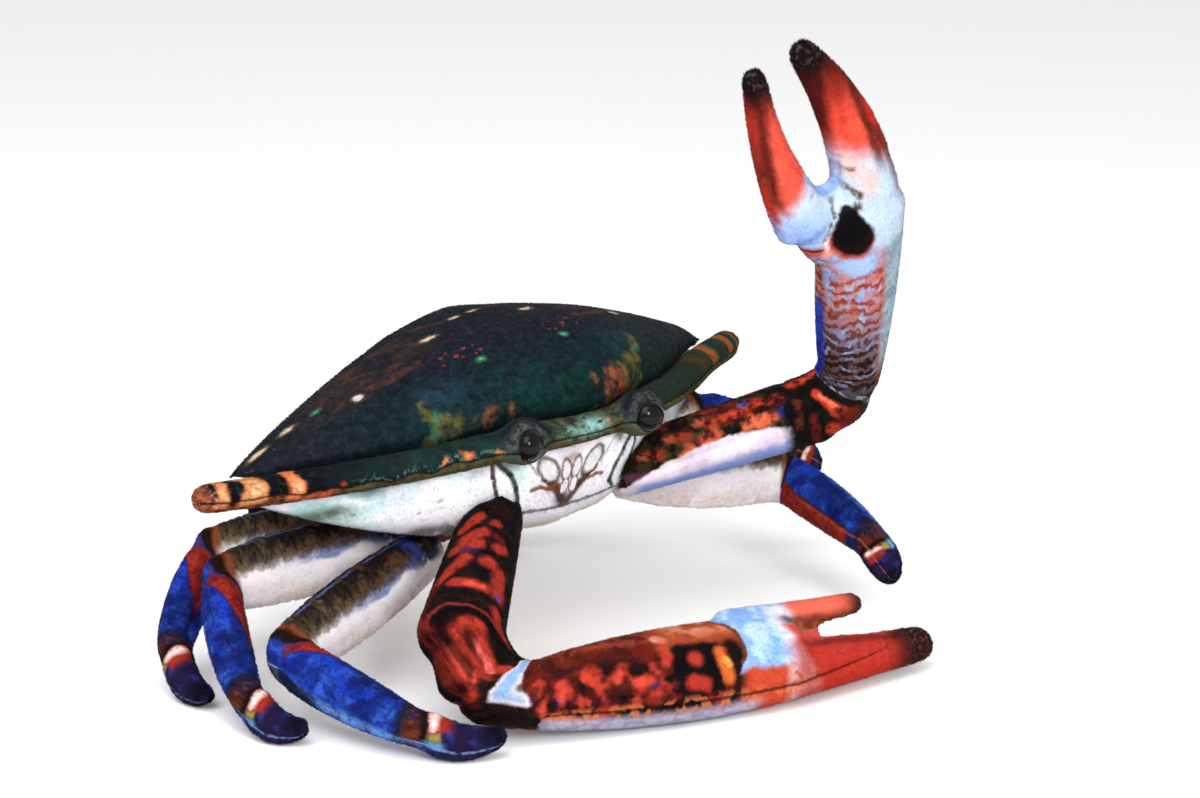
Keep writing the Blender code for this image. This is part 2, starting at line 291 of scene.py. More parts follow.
def make_leg(side, name, parts, marks):
    nodes = [f"{name}_{part}" for part in parts]
    toward = Vector((MIDDLE.x, MIDDLE.y, 60 * MM))
    ends = []
    for node in nodes:
        ends.append(axis_ends(node, toward))
        toward = ends[-1][1]
    joints = chain(ends)
    flip = 1 if side == "right" else -1
    STRETCHES[name] = [Stretch(a, b, UP, flip, first, last)
                       for a, b, first, last in zip(joints, joints[1:], marks, marks[1:])]
    SKINS[name] = gather(name, nodes, LIMB_VOXEL, inset=LEG_INSET, close=LEG_CLOSE)


for side in ("right", "left"):
    for number in (1, 2, 3):
        make_leg(side, f"leg_{side}_{number}", ("upper", "lower", "foot"), LEG_MARKS)
    make_leg(side, f"swim_{side}", ("upper", "paddle"), SWIM_MARKS)


# rounded lumps that fill out the hand, each from one place to another in the print's own terms
LUMPS = {
    "right": (),
    "left": (((182, 0, 12), (236, 1, 36), 10.5), ((118, -2, -9), (236, 1, -5), 12.0)),
}


def make_claw(side):
    name = f"claw_{side}"
    toward = Vector((MIDDLE.x, MIDDLE.y, 60 * MM))
    arm = axis_ends(f"{name}_arm", toward)
    elbow = Vector(node_points(f"{name}_elbow").mean(axis=0))
    palm = axis_ends(f"{name}_palm", elbow)
    fixed = Vector(node_points(f"{name}_fixed_finger").mean(axis=0))
    moving = Vector(node_points(f"{name}_moving_finger").mean(axis=0))
    across = moving - fixed
    joints = [arm[0], elbow, palm[0], palm[1]]
    marks = [0.0]
    for a, b in zip(joints, joints[1:]):
        marks.append(marks[-1] + (b - a).length / MM)
    ups = (UP, UP, across)
    flip = 1 if side == "right" else -1
    STRETCHES[name] = [Stretch(a, b, up, flip, first, last) for a, b, up, first, last
                       in zip(joints, joints[1:], ups, marks, marks[1:])]
    nodes = [f"{name}_{part}" for part in ("arm", "elbow", "palm", "fixed_finger", "moving_finger")]
    palm_run = STRETCHES[name][-1]
    lumps = [(palm_run.spot(*start), palm_run.spot(*end), radius * MM)
             for start, end, radius in LUMPS[side]]
    SKINS[name] = gather(name, nodes, LIMB_VOXEL, inset=LEG_INSET, close=CLAW_CLOSE[side],
                         stuffing=lumps)
    print(name, "marks, mm:", [round(mark) for mark in marks])


for side in ("right", "left"):
    make_claw(side)

# %% [markdown]
# ## The body
#
# The shell, the white belly and the front roll are wide, so a coarser skin is enough. The roll
# and the two round eye seats are one sewn piece on the toy, and become one skin here, which
# blends each seat into the roll.

# %% Make the body skins
BODY_VOXEL = 2.6 * MM
SKINS["shell"] = gather("shell_top", ["shell"], BODY_VOXEL, inset=1.2 * MM)
SKINS["belly"] = gather("belly_panel", ["belly"], BODY_VOXEL, inset=1.2 * MM)
SKINS["rim"] = gather("front_roll", ["rim", "eye_collar_left", "eye_collar_right"], 2.0 * MM,
                      smooth=5, inset=0.7 * MM, close=1.5 * MM)
for skin in SKINS.values():
    print(skin.name, len(skin.data.vertices), "points")

# %% [markdown]
# ## Filling the skins
#
# Fibre filling pushes the fabric out from inside and the seams hold it in. Cloth simulation does
# both: pressure swells every skin, and pinned points stand for the seams. All skins are solved
# in one run of frames. A cap on how far a point may move keeps each skin near its solid.

# %% Seam lines, then cloth
SEAM_PIN = 1.6             # points this near to a seam are held, in millimetres
FRAMES = 14
PRESSURE = 3.5
CAP = {"shell": 3.0 * MM, "belly": 3.0 * MM, "rim": 1.6 * MM}
LIMB_CAP = 1.8 * MM


def seam_gap(place, first, last, line):
    """How far each point is from a seam that runs along a limb at a turning angle.

    line gives the angle in degrees at first and at last: 0 is sideways and 90 is up.
    """
    along, side, up = place.T
    share = np.clip((along - first) / (last - first), 0, 1)
    angle = np.radians(line[0] + (line[1] - line[0]) * share)
    radius = np.hypot(side, up)
    turn = np.angle(np.exp(1j * (np.arctan2(up, side) - angle)))
    past = np.maximum(np.maximum(first - along, along - last), 0)
    return np.hypot(np.abs(turn) * radius, past)


# each seam: where it starts and ends along the limb, and its angle at either end
LEG_SEAMS = {
    "right": ((4, 96, (90, 90)), (4, 96, (270, 270)), (104, 198, (-38, -38)), (104, 198, (142, 142))),
    "left": ((4, 96, (90, 90)), (4, 96, (270, 270)), (104, 198, (180, 180)), (104, 198, (0, 0))),
}
SWIM_SEAMS = ((4, 108, (90, 90)), (4, 108, (270, 270)))
CLAW_SEAMS = {
    "claw_right": ((106, 330, (-62, -62)), (106, 330, (118, 118))),
    "claw_left": ((2, 62, (188, 180)), (62, 92, (180, 128)), (100, 300, (90, 90)), (100, 300, (270, 270))),
}


def seams_of(name):
    if name.startswith("leg"):
        return LEG_SEAMS["right" if "right" in name else "left"]
    if name.startswith("swim"):
        return SWIM_SEAMS
    return CLAW_SEAMS.get(name, ())


def nearest_seam(name, place):
    gap = np.full(len(place), 1e3)
    for first, last, line in seams_of(name):
        gap = np.minimum(gap, seam_gap(place, first, last, line))
    return gap


def add_cloth(made, pinned):
    group = made.vertex_groups.new(name="seam")
    group.add([int(i) for i in np.nonzero(pinned)[0]], 1.0, 'REPLACE')
    cloth = made.modifiers.new("filling", 'CLOTH')
    settings = cloth.settings
    settings.quality = 5
    settings.mass = 0.2
    settings.tension_stiffness = settings.compression_stiffness = 20
    settings.shear_stiffness = 10
    settings.bending_stiffness = 0.3
    settings.use_pressure = True
    settings.uniform_pressure_force = PRESSURE
    settings.effector_weights.gravity = 0
    settings.vertex_group_mass = "seam"
    cloth.point_cache.frame_start, cloth.point_cache.frame_end = 1, FRAMES


def fill_skins():
    """Runs the pressure in every skin at once, and keeps the capped result."""
    before = {}
    for name, made in SKINS.items():
        points = mesh_points(made.data)
        before[name] = points
        if name in STRETCHES:
            place, _ = straighten(points, STRETCHES[name])
            pinned = nearest_seam(name, place) < SEAM_PIN
        else:
            pinned = np.zeros(len(points), dtype=bool)
        add_cloth(made, pinned)
    for number in range(1, FRAMES + 1):
        SCENE.frame_set(number)
    for name, made in SKINS.items():
        apply_modifiers(made)
        made.vertex_groups.clear()
        moved = mesh_points(made.data) - before[name]
        reach = np.linalg.norm(moved, axis=1)
        cap = CAP.get(name, LIMB_CAP)
        held = np.minimum(1, cap / np.maximum(reach, 1e-9))
        move_points(made.data, before[name] + moved * held[:, None])
        print(name, "moved", round(reach.mean() / MM, 2), "mm on average")
    SCENE.frame_set(1)


fill_skins()

# %% [markdown]
# ## Seams and folds
#
# A machine seam pulls the fabric into a narrow groove, with small puckers beside it. Folds form
# on the inside of each bend. Both are much finer than the cloth that was simulated, so they are
# pressed into the finished surface by moving its points along their normals. The same step
# stores the straightened place that the prints read.

# %% Finish the surface of each skin
SEAM_DEPTH, SEAM_WIDTH = 0.9, 1.5        # of the groove, in millimetres
PUCKER_DEPTH, PUCKER_REACH = 0.22, 5.0   # of the small waves beside it
PUCKER_STEP = 5.5                        # from one pucker to the next
FLOOR_CLEAR = 0.1                        # the least height of the cloth above the floor
# each fold: its place along the limb, its angle round it, its depth and its width
FOLDS = {
    "claw_right": ((66, 10, 1.8, 0.5), (88, -60, 1.5, 1.0)),
    "claw_left": ((84, 0, 1.0, 1.0), (104, 0, 0.9, 1.2)),
}


def groove(gap, along):
    """How far the fabric near a seam is pressed in, in millimetres, and its puckers."""
    line = SEAM_DEPTH * np.exp(-(gap / SEAM_WIDTH) ** 2)
    wave = np.sin(along * (2 * math.pi / PUCKER_STEP) + 1.7 * np.sin(along * 0.31))
    return -line + PUCKER_DEPTH * wave * np.exp(-gap / PUCKER_REACH)


def body_line(node, slices=40):
    """The middle line of the roll: its forward place and height for each place across."""
    points = node_points(node)
    edges = np.linspace(points[:, 0].min(), points[:, 0].max(), slices + 1)
    rows = []
    for low, high in zip(edges, edges[1:]):
        inside = points[(points[:, 0] >= low) & (points[:, 0] <= high)]
        if len(inside):
            middle = (inside.min(axis=0) + inside.max(axis=0)) / 2
            rows.append(((low + high) / 2, middle[1], middle[2]))
    return np.array(rows)


ROLL = body_line("rim")


def body_place(name, points):
    """Where each point of a body piece lies, in millimetres from the shell's middle."""
    place = (points - np.array(MIDDLE)) / MM
    nap = np.tile((0.0, 0.6, -0.4), (len(points), 1))
    if name == "rim":
        place[:, 1] = (np.interp(points[:, 0], ROLL[:, 0], ROLL[:, 1]) - points[:, 1]) / MM
        place[:, 2] = (points[:, 2] - np.interp(points[:, 0], ROLL[:, 0], ROLL[:, 2])) / MM
        nap = np.tile((0.8, 0.0, -0.4), (len(points), 1))
    if name == "shell":
        nap = np.stack([place[:, 0] * 0.004, np.full(len(points), 0.9), np.full(len(points), -0.2)], 1)
    return place, nap


def body_seam(name, place):
    """How far each point is from the roll's long seam or the belly's slanting dart."""
    x, y, z = place.T
    if name == "rim":
        return np.where(y > -4, np.abs(z + 0.6), 1e3), x
    if name == "belly":
        front = np.abs(x + 66 - 0.5 * (95 - z)) * 0.8
        return np.where((y < 10) & (z < 100), front, 1e3), z
    return np.full(len(place), 1e3), x


def finish_skin(name, made):
    finer = made.modifiers.new("finer", 'SUBSURF')
    finer.levels = finer.render_levels = 1
    apply_modifiers(made)
    mesh = made.data
    points, normals = mesh_points(mesh), mesh_normals(mesh)
    if name in STRETCHES:
        place, nap = straighten(points, STRETCHES[name])
        gap, along = nearest_seam(name, place), place[:, 0]
    else:
        place, nap = body_place(name, points)
        gap, along = body_seam(name, place)
    press = groove(gap, along)
    for at, turn, depth, width in FOLDS.get(name, ()):
        angle = np.arctan2(place[:, 2], place[:, 1])
        near = np.maximum(0, np.cos(angle - math.radians(turn))) ** 0.7
        press -= depth * near * np.exp(-((place[:, 0] - at) / (1.6 * width)) ** 2)
    points = points + normals * press[:, None] * MM
    points[:, 2] = np.maximum(points[:, 2], FLOOR_CLEAR * MM)
    move_points(mesh, points)
    store(mesh, PLACE, place)
    store(mesh, NAP, nap)
    mesh.shade_smooth()
    print(name, len(mesh.polygons), "faces,", "place from", place.min(axis=0).round(), "to",
          place.max(axis=0).round())


for name, made in SKINS.items():
    finish_skin(name, made)

# %% [markdown]
# ## Drawing a print with nodes
#
# The toy's cloth carries a realistic crab print. An image would be quick, but a print
# made from shader nodes has no resolution and no seam. The small class below builds the nodes:
# masks such as a band, an edge or a spot come from the straightened place, noise makes their
# borders ragged, and each layer is mixed over the one before.

# %% The print builder
INK_STRENGTH = 0.86        # the studio light is a little brighter than one, so inks are printed darker


def ink(red, green, blue):
    """A colour given as 0 to 255 on screen, turned into the linear values that shaders use."""
    made = []
    for value in (red, green, blue):
        share = value / 255
        linear = share / 12.92 if share <= 0.04045 else ((share + 0.055) / 1.055) ** 2.4
        made.append(linear * INK_STRENGTH)
    return (*made, 1.0)


MIX_UNDER, MIX_OVER, MIX_OUT = 6, 7, 2   # the colour sockets of a Mix node


class Print:
    """A fabric material whose colour is built up layer by layer."""

    def __init__(self, name, ground):
        self.material = bpy.data.materials.new(name)
        self.material.use_nodes = True
        self.nodes = self.material.node_tree.nodes
        self.links = self.material.node_tree.links
        self.shader = self.nodes["Principled BSDF"]
        source = self.nodes.new("ShaderNodeAttribute")
        source.attribute_name = PLACE
        self.place = source.outputs["Vector"]
        parts = self.nodes.new("ShaderNodeSeparateXYZ")
        self.links.new(self.place, parts.inputs[0])
        self.x, self.y, self.z = parts.outputs
        self.colour = ink(*ground)

    def put(self, socket, value):
        if isinstance(value, bpy.types.NodeSocket):
            self.links.new(value, socket)
        else:
            socket.default_value = value

    def math(self, how, a, b=0.0):
        node = self.nodes.new("ShaderNodeMath")
        node.operation = how
        self.put(node.inputs[0], a)
        self.put(node.inputs[1], b)
        return node.outputs[0]

    def add(self, a, b):
        return self.math('ADD', a, b)

    def less(self, a, b):
        return self.math('SUBTRACT', a, b)

    def times(self, a, b):
        return self.math('MULTIPLY', a, b)

    def over(self, a, b):
        return self.math('DIVIDE', a, b)

    def vector(self, how, a, b=(0, 0, 0), scale=None):
        node = self.nodes.new("ShaderNodeVectorMath")
        node.operation = how
        self.put(node.inputs[0], a)
        self.put(node.inputs[1], b)
        if scale is not None:
            self.put(node.inputs["Scale"], scale)
        return node.outputs["Value"] if how in ('LENGTH', 'DOT_PRODUCT') else node.outputs["Vector"]

    def noise(self, size, detail=2.0, stretch=(1, 1, 1), shift=0.0, colour=False, rough=0.5, at=None):
        """Soft noise from 0 to 1 with features about size millimetres across."""
        node = self.nodes.new("ShaderNodeTexNoise")
        node.inputs["Scale"].default_value = 1.0
        node.inputs["Detail"].default_value = detail
        node.inputs["Roughness"].default_value = rough
        scale = tuple(1 / (size * one) for one in stretch)
        moved = self.vector('MULTIPLY', at or self.place, scale)
        self.links.new(self.vector('ADD', moved, (shift, shift * 0.7, -shift)), node.inputs["Vector"])
        return node.outputs["Color" if colour else "Fac"]

    def pushed(self, at, reach, size, detail=3.0, shift=0.0):
        """A place pushed up to reach millimetres about by noise, for ragged outlines."""
        off = self.vector('SUBTRACT', self.noise(size, detail, shift=shift, colour=True), (0.5, 0.5, 0.5))
        return self.vector('ADD', at, self.vector('SCALE', off, scale=2 * reach))

    def warped(self, reach, size, shift=0.0):
        return self.pushed(self.place, reach, size, shift=shift)

    def point(self, x=0.0, y=0.0, z=0.0):
        node = self.nodes.new("ShaderNodeCombineXYZ")
        for socket, value in zip(node.inputs, (x, y, z)):
            self.put(socket, value)
        return node.outputs[0]

    def turned(self, off, turn):
        """A place turned backwards about Z by this many degrees."""
        node = self.nodes.new("ShaderNodeVectorRotate")
        node.rotation_type = 'Z_AXIS'
        self.links.new(off, node.inputs["Vector"])
        node.inputs["Angle"].default_value = math.radians(-turn)
        return node.outputs["Vector"]

    def split(self, vector):
        parts = self.nodes.new("ShaderNodeSeparateXYZ")
        self.links.new(vector, parts.inputs[0])
        return parts.outputs

    def above(self, value, edge, soft=1.0):
        """0 below an edge and 1 above it, changing softly."""
        node = self.nodes.new("ShaderNodeMapRange")
        node.interpolation_type = 'SMOOTHSTEP'
        self.put(node.inputs["Value"], value)
        node.inputs["From Min"].default_value = edge - soft
        node.inputs["From Max"].default_value = edge + soft
        return node.outputs["Result"]

    def below(self, value, edge, soft=1.0):
        return self.less(1.0, self.above(value, edge, soft))

    def band(self, value, low, high, soft=1.0):
        return self.times(self.above(value, low, soft), self.below(value, high, soft))

    def both(self, *masks):
        made = masks[0]
        for mask in masks[1:]:
            made = self.times(made, mask)
        return made

    def oval(self, centre, size, at=None, turn=0.0):
        """How far a place lies from an oval's middle, as a share of its half widths."""
        off = self.vector('SUBTRACT', at or self.place, tuple(centre))
        if turn:
            off = self.turned(off, turn)
        return self.vector('LENGTH', self.vector('MULTIPLY', off, tuple(1 / one for one in size)))

    def spot(self, centre, size, soft=0.25, at=None, turn=0.0):
        """An oval patch; size is its half widths, and turn tips it, in degrees."""
        return self.below(self.oval(centre, size, at, turn), 1.0, soft)

    def stroke(self, start, end, width, soft=0.35, at=None):
        """A straight mark from one place to another."""
        start, end = Vector(start), Vector(end)
        run = end - start
        off = self.vector('SUBTRACT', at or self.place, tuple(start))
        share = self.over(self.vector('DOT_PRODUCT', off, tuple(run)), run.length_squared)
        held = self.math('MINIMUM', self.math('MAXIMUM', share, 0.0), 1.0)
        back = self.vector('SUBTRACT', off, self.vector('SCALE', tuple(run), scale=held))
        return self.below(self.vector('LENGTH', back), width, width * soft)

    def facing(self, turn, half, soft=0.12, at=None):
        """The side of a limb that looks toward an angle: 0 is sideways and 90 is up."""
        return self.above(self.toward(turn, at), math.cos(math.radians(half)), soft)

    def toward(self, turn, at=None):
        """1 on the side of a limb that looks straight toward an angle, and -1 opposite to it."""
        _, y, z = self.split(at or self.place)
        aim = math.radians(turn)
        return self.vector('DOT_PRODUCT', self.vector('NORMALIZE', self.point(0.0, y, z)),
                           (0, math.cos(aim), math.sin(aim)))

    def laid_flat(self, radius, middle, rag=1.2, rag_size=4.0, shift=0.0):
        """The cloth of a limb laid flat: along it, and round it in millimetres from 0 degrees.

        middle is the angle that faces forward, and the flat cloth is cut opposite to it.
        """
        aim = math.radians(middle)
        across = self.add(self.times(self.y, math.cos(aim)), self.times(self.z, math.sin(aim)))
        up = self.less(self.times(self.z, math.cos(aim)), self.times(self.y, math.sin(aim)))
        turn = self.add(self.math('ARCTAN2', up, across), aim)
        flat = self.pushed(self.point(self.x, self.times(turn, radius)), rag, rag_size, shift=shift)
        return self.vector('MULTIPLY', flat, (1, 1, 0))

    def lay(self, colour, strength, *masks):
        """Mixes a colour over everything laid so far, where all the masks are 1."""
        node = self.nodes.new("ShaderNodeMix")
        node.data_type = 'RGBA'
        self.put(node.inputs["Factor"], self.times(self.both(*masks), strength))
        self.put(node.inputs[MIX_UNDER], self.colour)
        self.put(node.inputs[MIX_OVER], ink(*colour))
        self.colour = node.outputs[MIX_OUT]

    def velour(self, rough=0.85, sheen=0.01, grain=0.18, bump=0.10, gloss=0.05,
               deep=1.18):
        """Ends the print with the pile's own look: grain, soft sheen and a fine bump."""
        pile = self.noise(0.45, 2.0, stretch=(1.8, 1, 1))
        wide = self.noise(5.0, 2.0)
        shade = self.add(self.times(pile, 2 * grain), 1.0 - grain)
        shade = self.times(shade, self.add(self.times(wide, 0.16), 0.92))
        node = self.nodes.new("ShaderNodeMix")
        node.data_type, node.blend_type = 'RGBA', 'MULTIPLY'
        node.inputs["Factor"].default_value = 1.0
        richer = self.nodes.new("ShaderNodeGamma")
        self.put(richer.inputs["Color"], self.colour)
        richer.inputs["Gamma"].default_value = deep
        self.links.new(richer.outputs["Color"], node.inputs[MIX_UNDER])
        self.links.new(shade, node.inputs[MIX_OVER])
        self.links.new(node.outputs[MIX_OUT], self.shader.inputs["Base Color"])
        self.shader.inputs["Roughness"].default_value = rough
        self.shader.inputs["Specular IOR Level"].default_value = gloss
        self.shader.inputs["Sheen Weight"].default_value = sheen
        self.shader.inputs["Sheen Roughness"].default_value = 0.45
        height = self.nodes.new("ShaderNodeBump")
        height.inputs["Strength"].default_value = 0.6
        height.inputs["Distance"].default_value = bump * MM
        self.links.new(pile, height.inputs["Height"])
        self.links.new(height.outputs["Normal"], self.shader.inputs["Normal"])
        return self.material

# %% [markdown]
# ## The print on the shell
#
# The top of the shell is blue-black, turning teal and emerald towards its front edge and
# charcoal green towards the sides. Soft orange-brown streaks run across it, with yellow and
# orange blotches in front, pairs of green spots, tiny red dots and a row of cream spots behind.
# The print is a mirror image from side to side, as on a real crab, so one half is drawn on the
# distance from the print's own middle line.

# %% Shell print
PRINT_MIDDLE = -8          # the printed panel was sewn on a little off the shell's middle


def give(made, material):
    made.data.materials.clear()
    made.data.materials.append(material)


def shell_print():
    p = Print("shell_velour", (34, 36, 48))
    wave = p.warped(9, 30, 3.0)
    x, y, _ = p.split(wave)
    half = p.math('ABSOLUTE', p.less(p.x, PRINT_MIDDLE))
    far = p.math('ABSOLUTE', p.less(x, PRINT_MIDDLE))
    flat = p.point(half, p.y)
    mottle = p.noise(14, 4.0, shift=1.0, rough=0.6)
    fine = p.noise(3.2, 3.0, shift=5.0, rough=0.65)
    # how far behind the curved front edge each point lies, in millimetres
    sweep = p.times(p.math('POWER', p.over(half, 126.0), 2.1), 60.0)
    back = p.add(p.add(p.less(p.y, sweep), 62.0), p.times(p.less(mottle, 0.5), 22.0))
    p.lay((34, 42, 58), 0.45, p.below(back, 44, 16), p.above(mottle, 0.50, 0.14))
    p.lay((20, 46, 48), 0.8, p.below(back, 26, 12), p.below(far, 88, 24),
          p.above(mottle, 0.36, 0.14))
    p.lay((12, 76, 62), 0.42, p.band(back, -2, 15, 8), p.below(far, 56, 20),
          p.above(p.noise(12, 3.0, shift=8.0), 0.47, 0.14))
    p.lay((10, 44, 38), 0.8, p.below(back, 4, 5), p.below(far, 84, 16))
    p.lay((56, 80, 104), 0.5, p.spot((47, -40, 0), (10, 6, 90), 0.9, at=flat),
          p.above(p.noise(6, 3.0, shift=15.0), 0.46, 0.16))
    p.lay((48, 58, 52), 0.55, p.above(x, 46, 22), p.above(p.noise(20, 2.0, shift=4.0), 0.4, 0.2))
    p.lay((46, 44, 46), 0.4, p.above(far, 78, 26), p.below(x, 0, 10), p.above(mottle, 0.45, 0.2))
    # brown cast and streaks on the slopes
    slope = p.both(p.band(far, 30, 82, 18), p.band(y, -14, 14, 9),
                   p.above(p.noise(16, 2.0, shift=19.0), 0.44, 0.12))
    p.lay((78, 62, 48), 0.45, slope)
    streak = p.noise(6, 3.0, stretch=(3.4, 0.7, 1), shift=2.4, at=wave)
    p.lay((142, 84, 54), 0.35, slope, p.above(streak, 0.58, 0.12))
    for start, end, width, tone, share in (
            ((62, -15, 0), (42, -20, 0), 2.0, (140, 80, 54), 0.34),
            ((22, 8, 0), (10, 2, 0), 1.7, (140, 78, 54), 0.38),
            ((50, -48, 0), (56, -39, 0), 1.6, (150, 130, 44), 0.5)):
        p.lay(tone, share, p.stroke(start, end, width, soft=0.9, at=p.pushed(flat, 5, 5, shift=width)))
    # blotches along the front edge
    rag = p.pushed(flat, 2.5, 3.2, shift=6.0)
    for cx, cy, rx, ry, tone in (
            (46, -50, 4.0, 2.4, (136, 122, 48)), (40, -53, 3.4, 2.0, (156, 120, 50)),
            (32, -54, 3.8, 2.4, (190, 104, 62)), (37, -56, 2.6, 2.2, (206, 96, 60)),
            (28, -57, 1.8, 1.6, (190, 110, 60)), (22, -55, 1.6, 1.6, (160, 106, 48)),
            (53, -45, 2.4, 1.8, (62, 130, 98)), (51, -53, 2.4, 1.6, (120, 112, 48))):
        p.lay(tone, 0.7, p.spot((cx, cy, 0), (rx * 0.8, ry * 0.8, 90), 0.95, at=rag),
              p.above(p.noise(2.8, 3.0, shift=cx), 0.42, 0.16))
    # spots
    dot = p.pushed(flat, 0.8, 2.2, 2.0, shift=9.0)
    cream, halo = (232, 204, 178), (150, 130, 84)
    for cx, cy, rx, ry, turn in ((107, 0, 3.6, 1.3, 8), (93, -1, 3.0, 1.4, 8), (26, -7, 3.2, 1.3, 14),
                                 (5, 2, 2.4, 1.1, 0), (68, -15, 1.9, 1.9, 0)):
        p.lay(halo, 0.6, p.spot((cx, cy, 0), (rx * 1.4, ry * 1.6, 90), 0.5, at=dot, turn=turn))
        p.lay((226, 222, 222) if cx == 68 else cream, 0.95,
              p.spot((cx, cy, 0), (rx, ry, 90), 0.4, at=dot, turn=turn))
    for cx, cy in ((81, -4), (22, -36)):
        p.lay((60, 150, 106), 0.9, p.spot((cx, cy, 0), (2.3, 1.5, 90), 0.6, at=dot))
        p.lay((150, 204, 176), 0.7, p.spot((cx - 0.3, cy + 0.2, 0), (0.9, 0.5, 90), 0.6, at=dot))
    for cx, cy, r in ((33, -24, 0.9), (28, -28, 1.1), (26.5, -30, 0.8), (23, -26, 0.8), (18, -31, 0.7),
                      (21, -32, 0.6), (35, -29, 0.6), (30, -23, 0.6), (19, -27, 0.5)):
        p.lay((176, 80, 56), 0.75, p.spot((cx, cy, 0), (r, r * 0.8, 90), 0.6, at=dot))
    # scattered small flecks everywhere behind the middle
    fleck = p.noise(3.0, 1.0, shift=12.0)
    p.lay((120, 92, 62), 0.7, p.above(fleck, 0.74, 0.04), p.above(p.y, -20, 10))
    p.lay((66, 72, 90), 0.25, p.above(fine, 0.58, 0.16))
    p.lay((12, 13, 18), 0.4, p.below(fine, 0.44, 0.16))
    return p.velour(grain=0.26)


give(SKINS["shell"], shell_print())

# %% [markdown]
# ## The print on the front roll
#
# The roll has two printed halves that meet at its seam. Above the seam it is dark olive and
# teal, below it olive and tan. Both ends are barred in orange and cream on black, and the
# middle, between the eyes, is mottled with cyan and brown. The eye seats carry a blue-black cap
# and a pale speckled ring.

# %% Roll print
EYE_SEATS = [round((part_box(f"eye_{side}")[0][0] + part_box(f"eye_{side}")[1][0]) / 2 / MM - MIDDLE.x / MM)
             for side in ("right", "left")]
print("eye seats across the roll, mm:", EYE_SEATS)


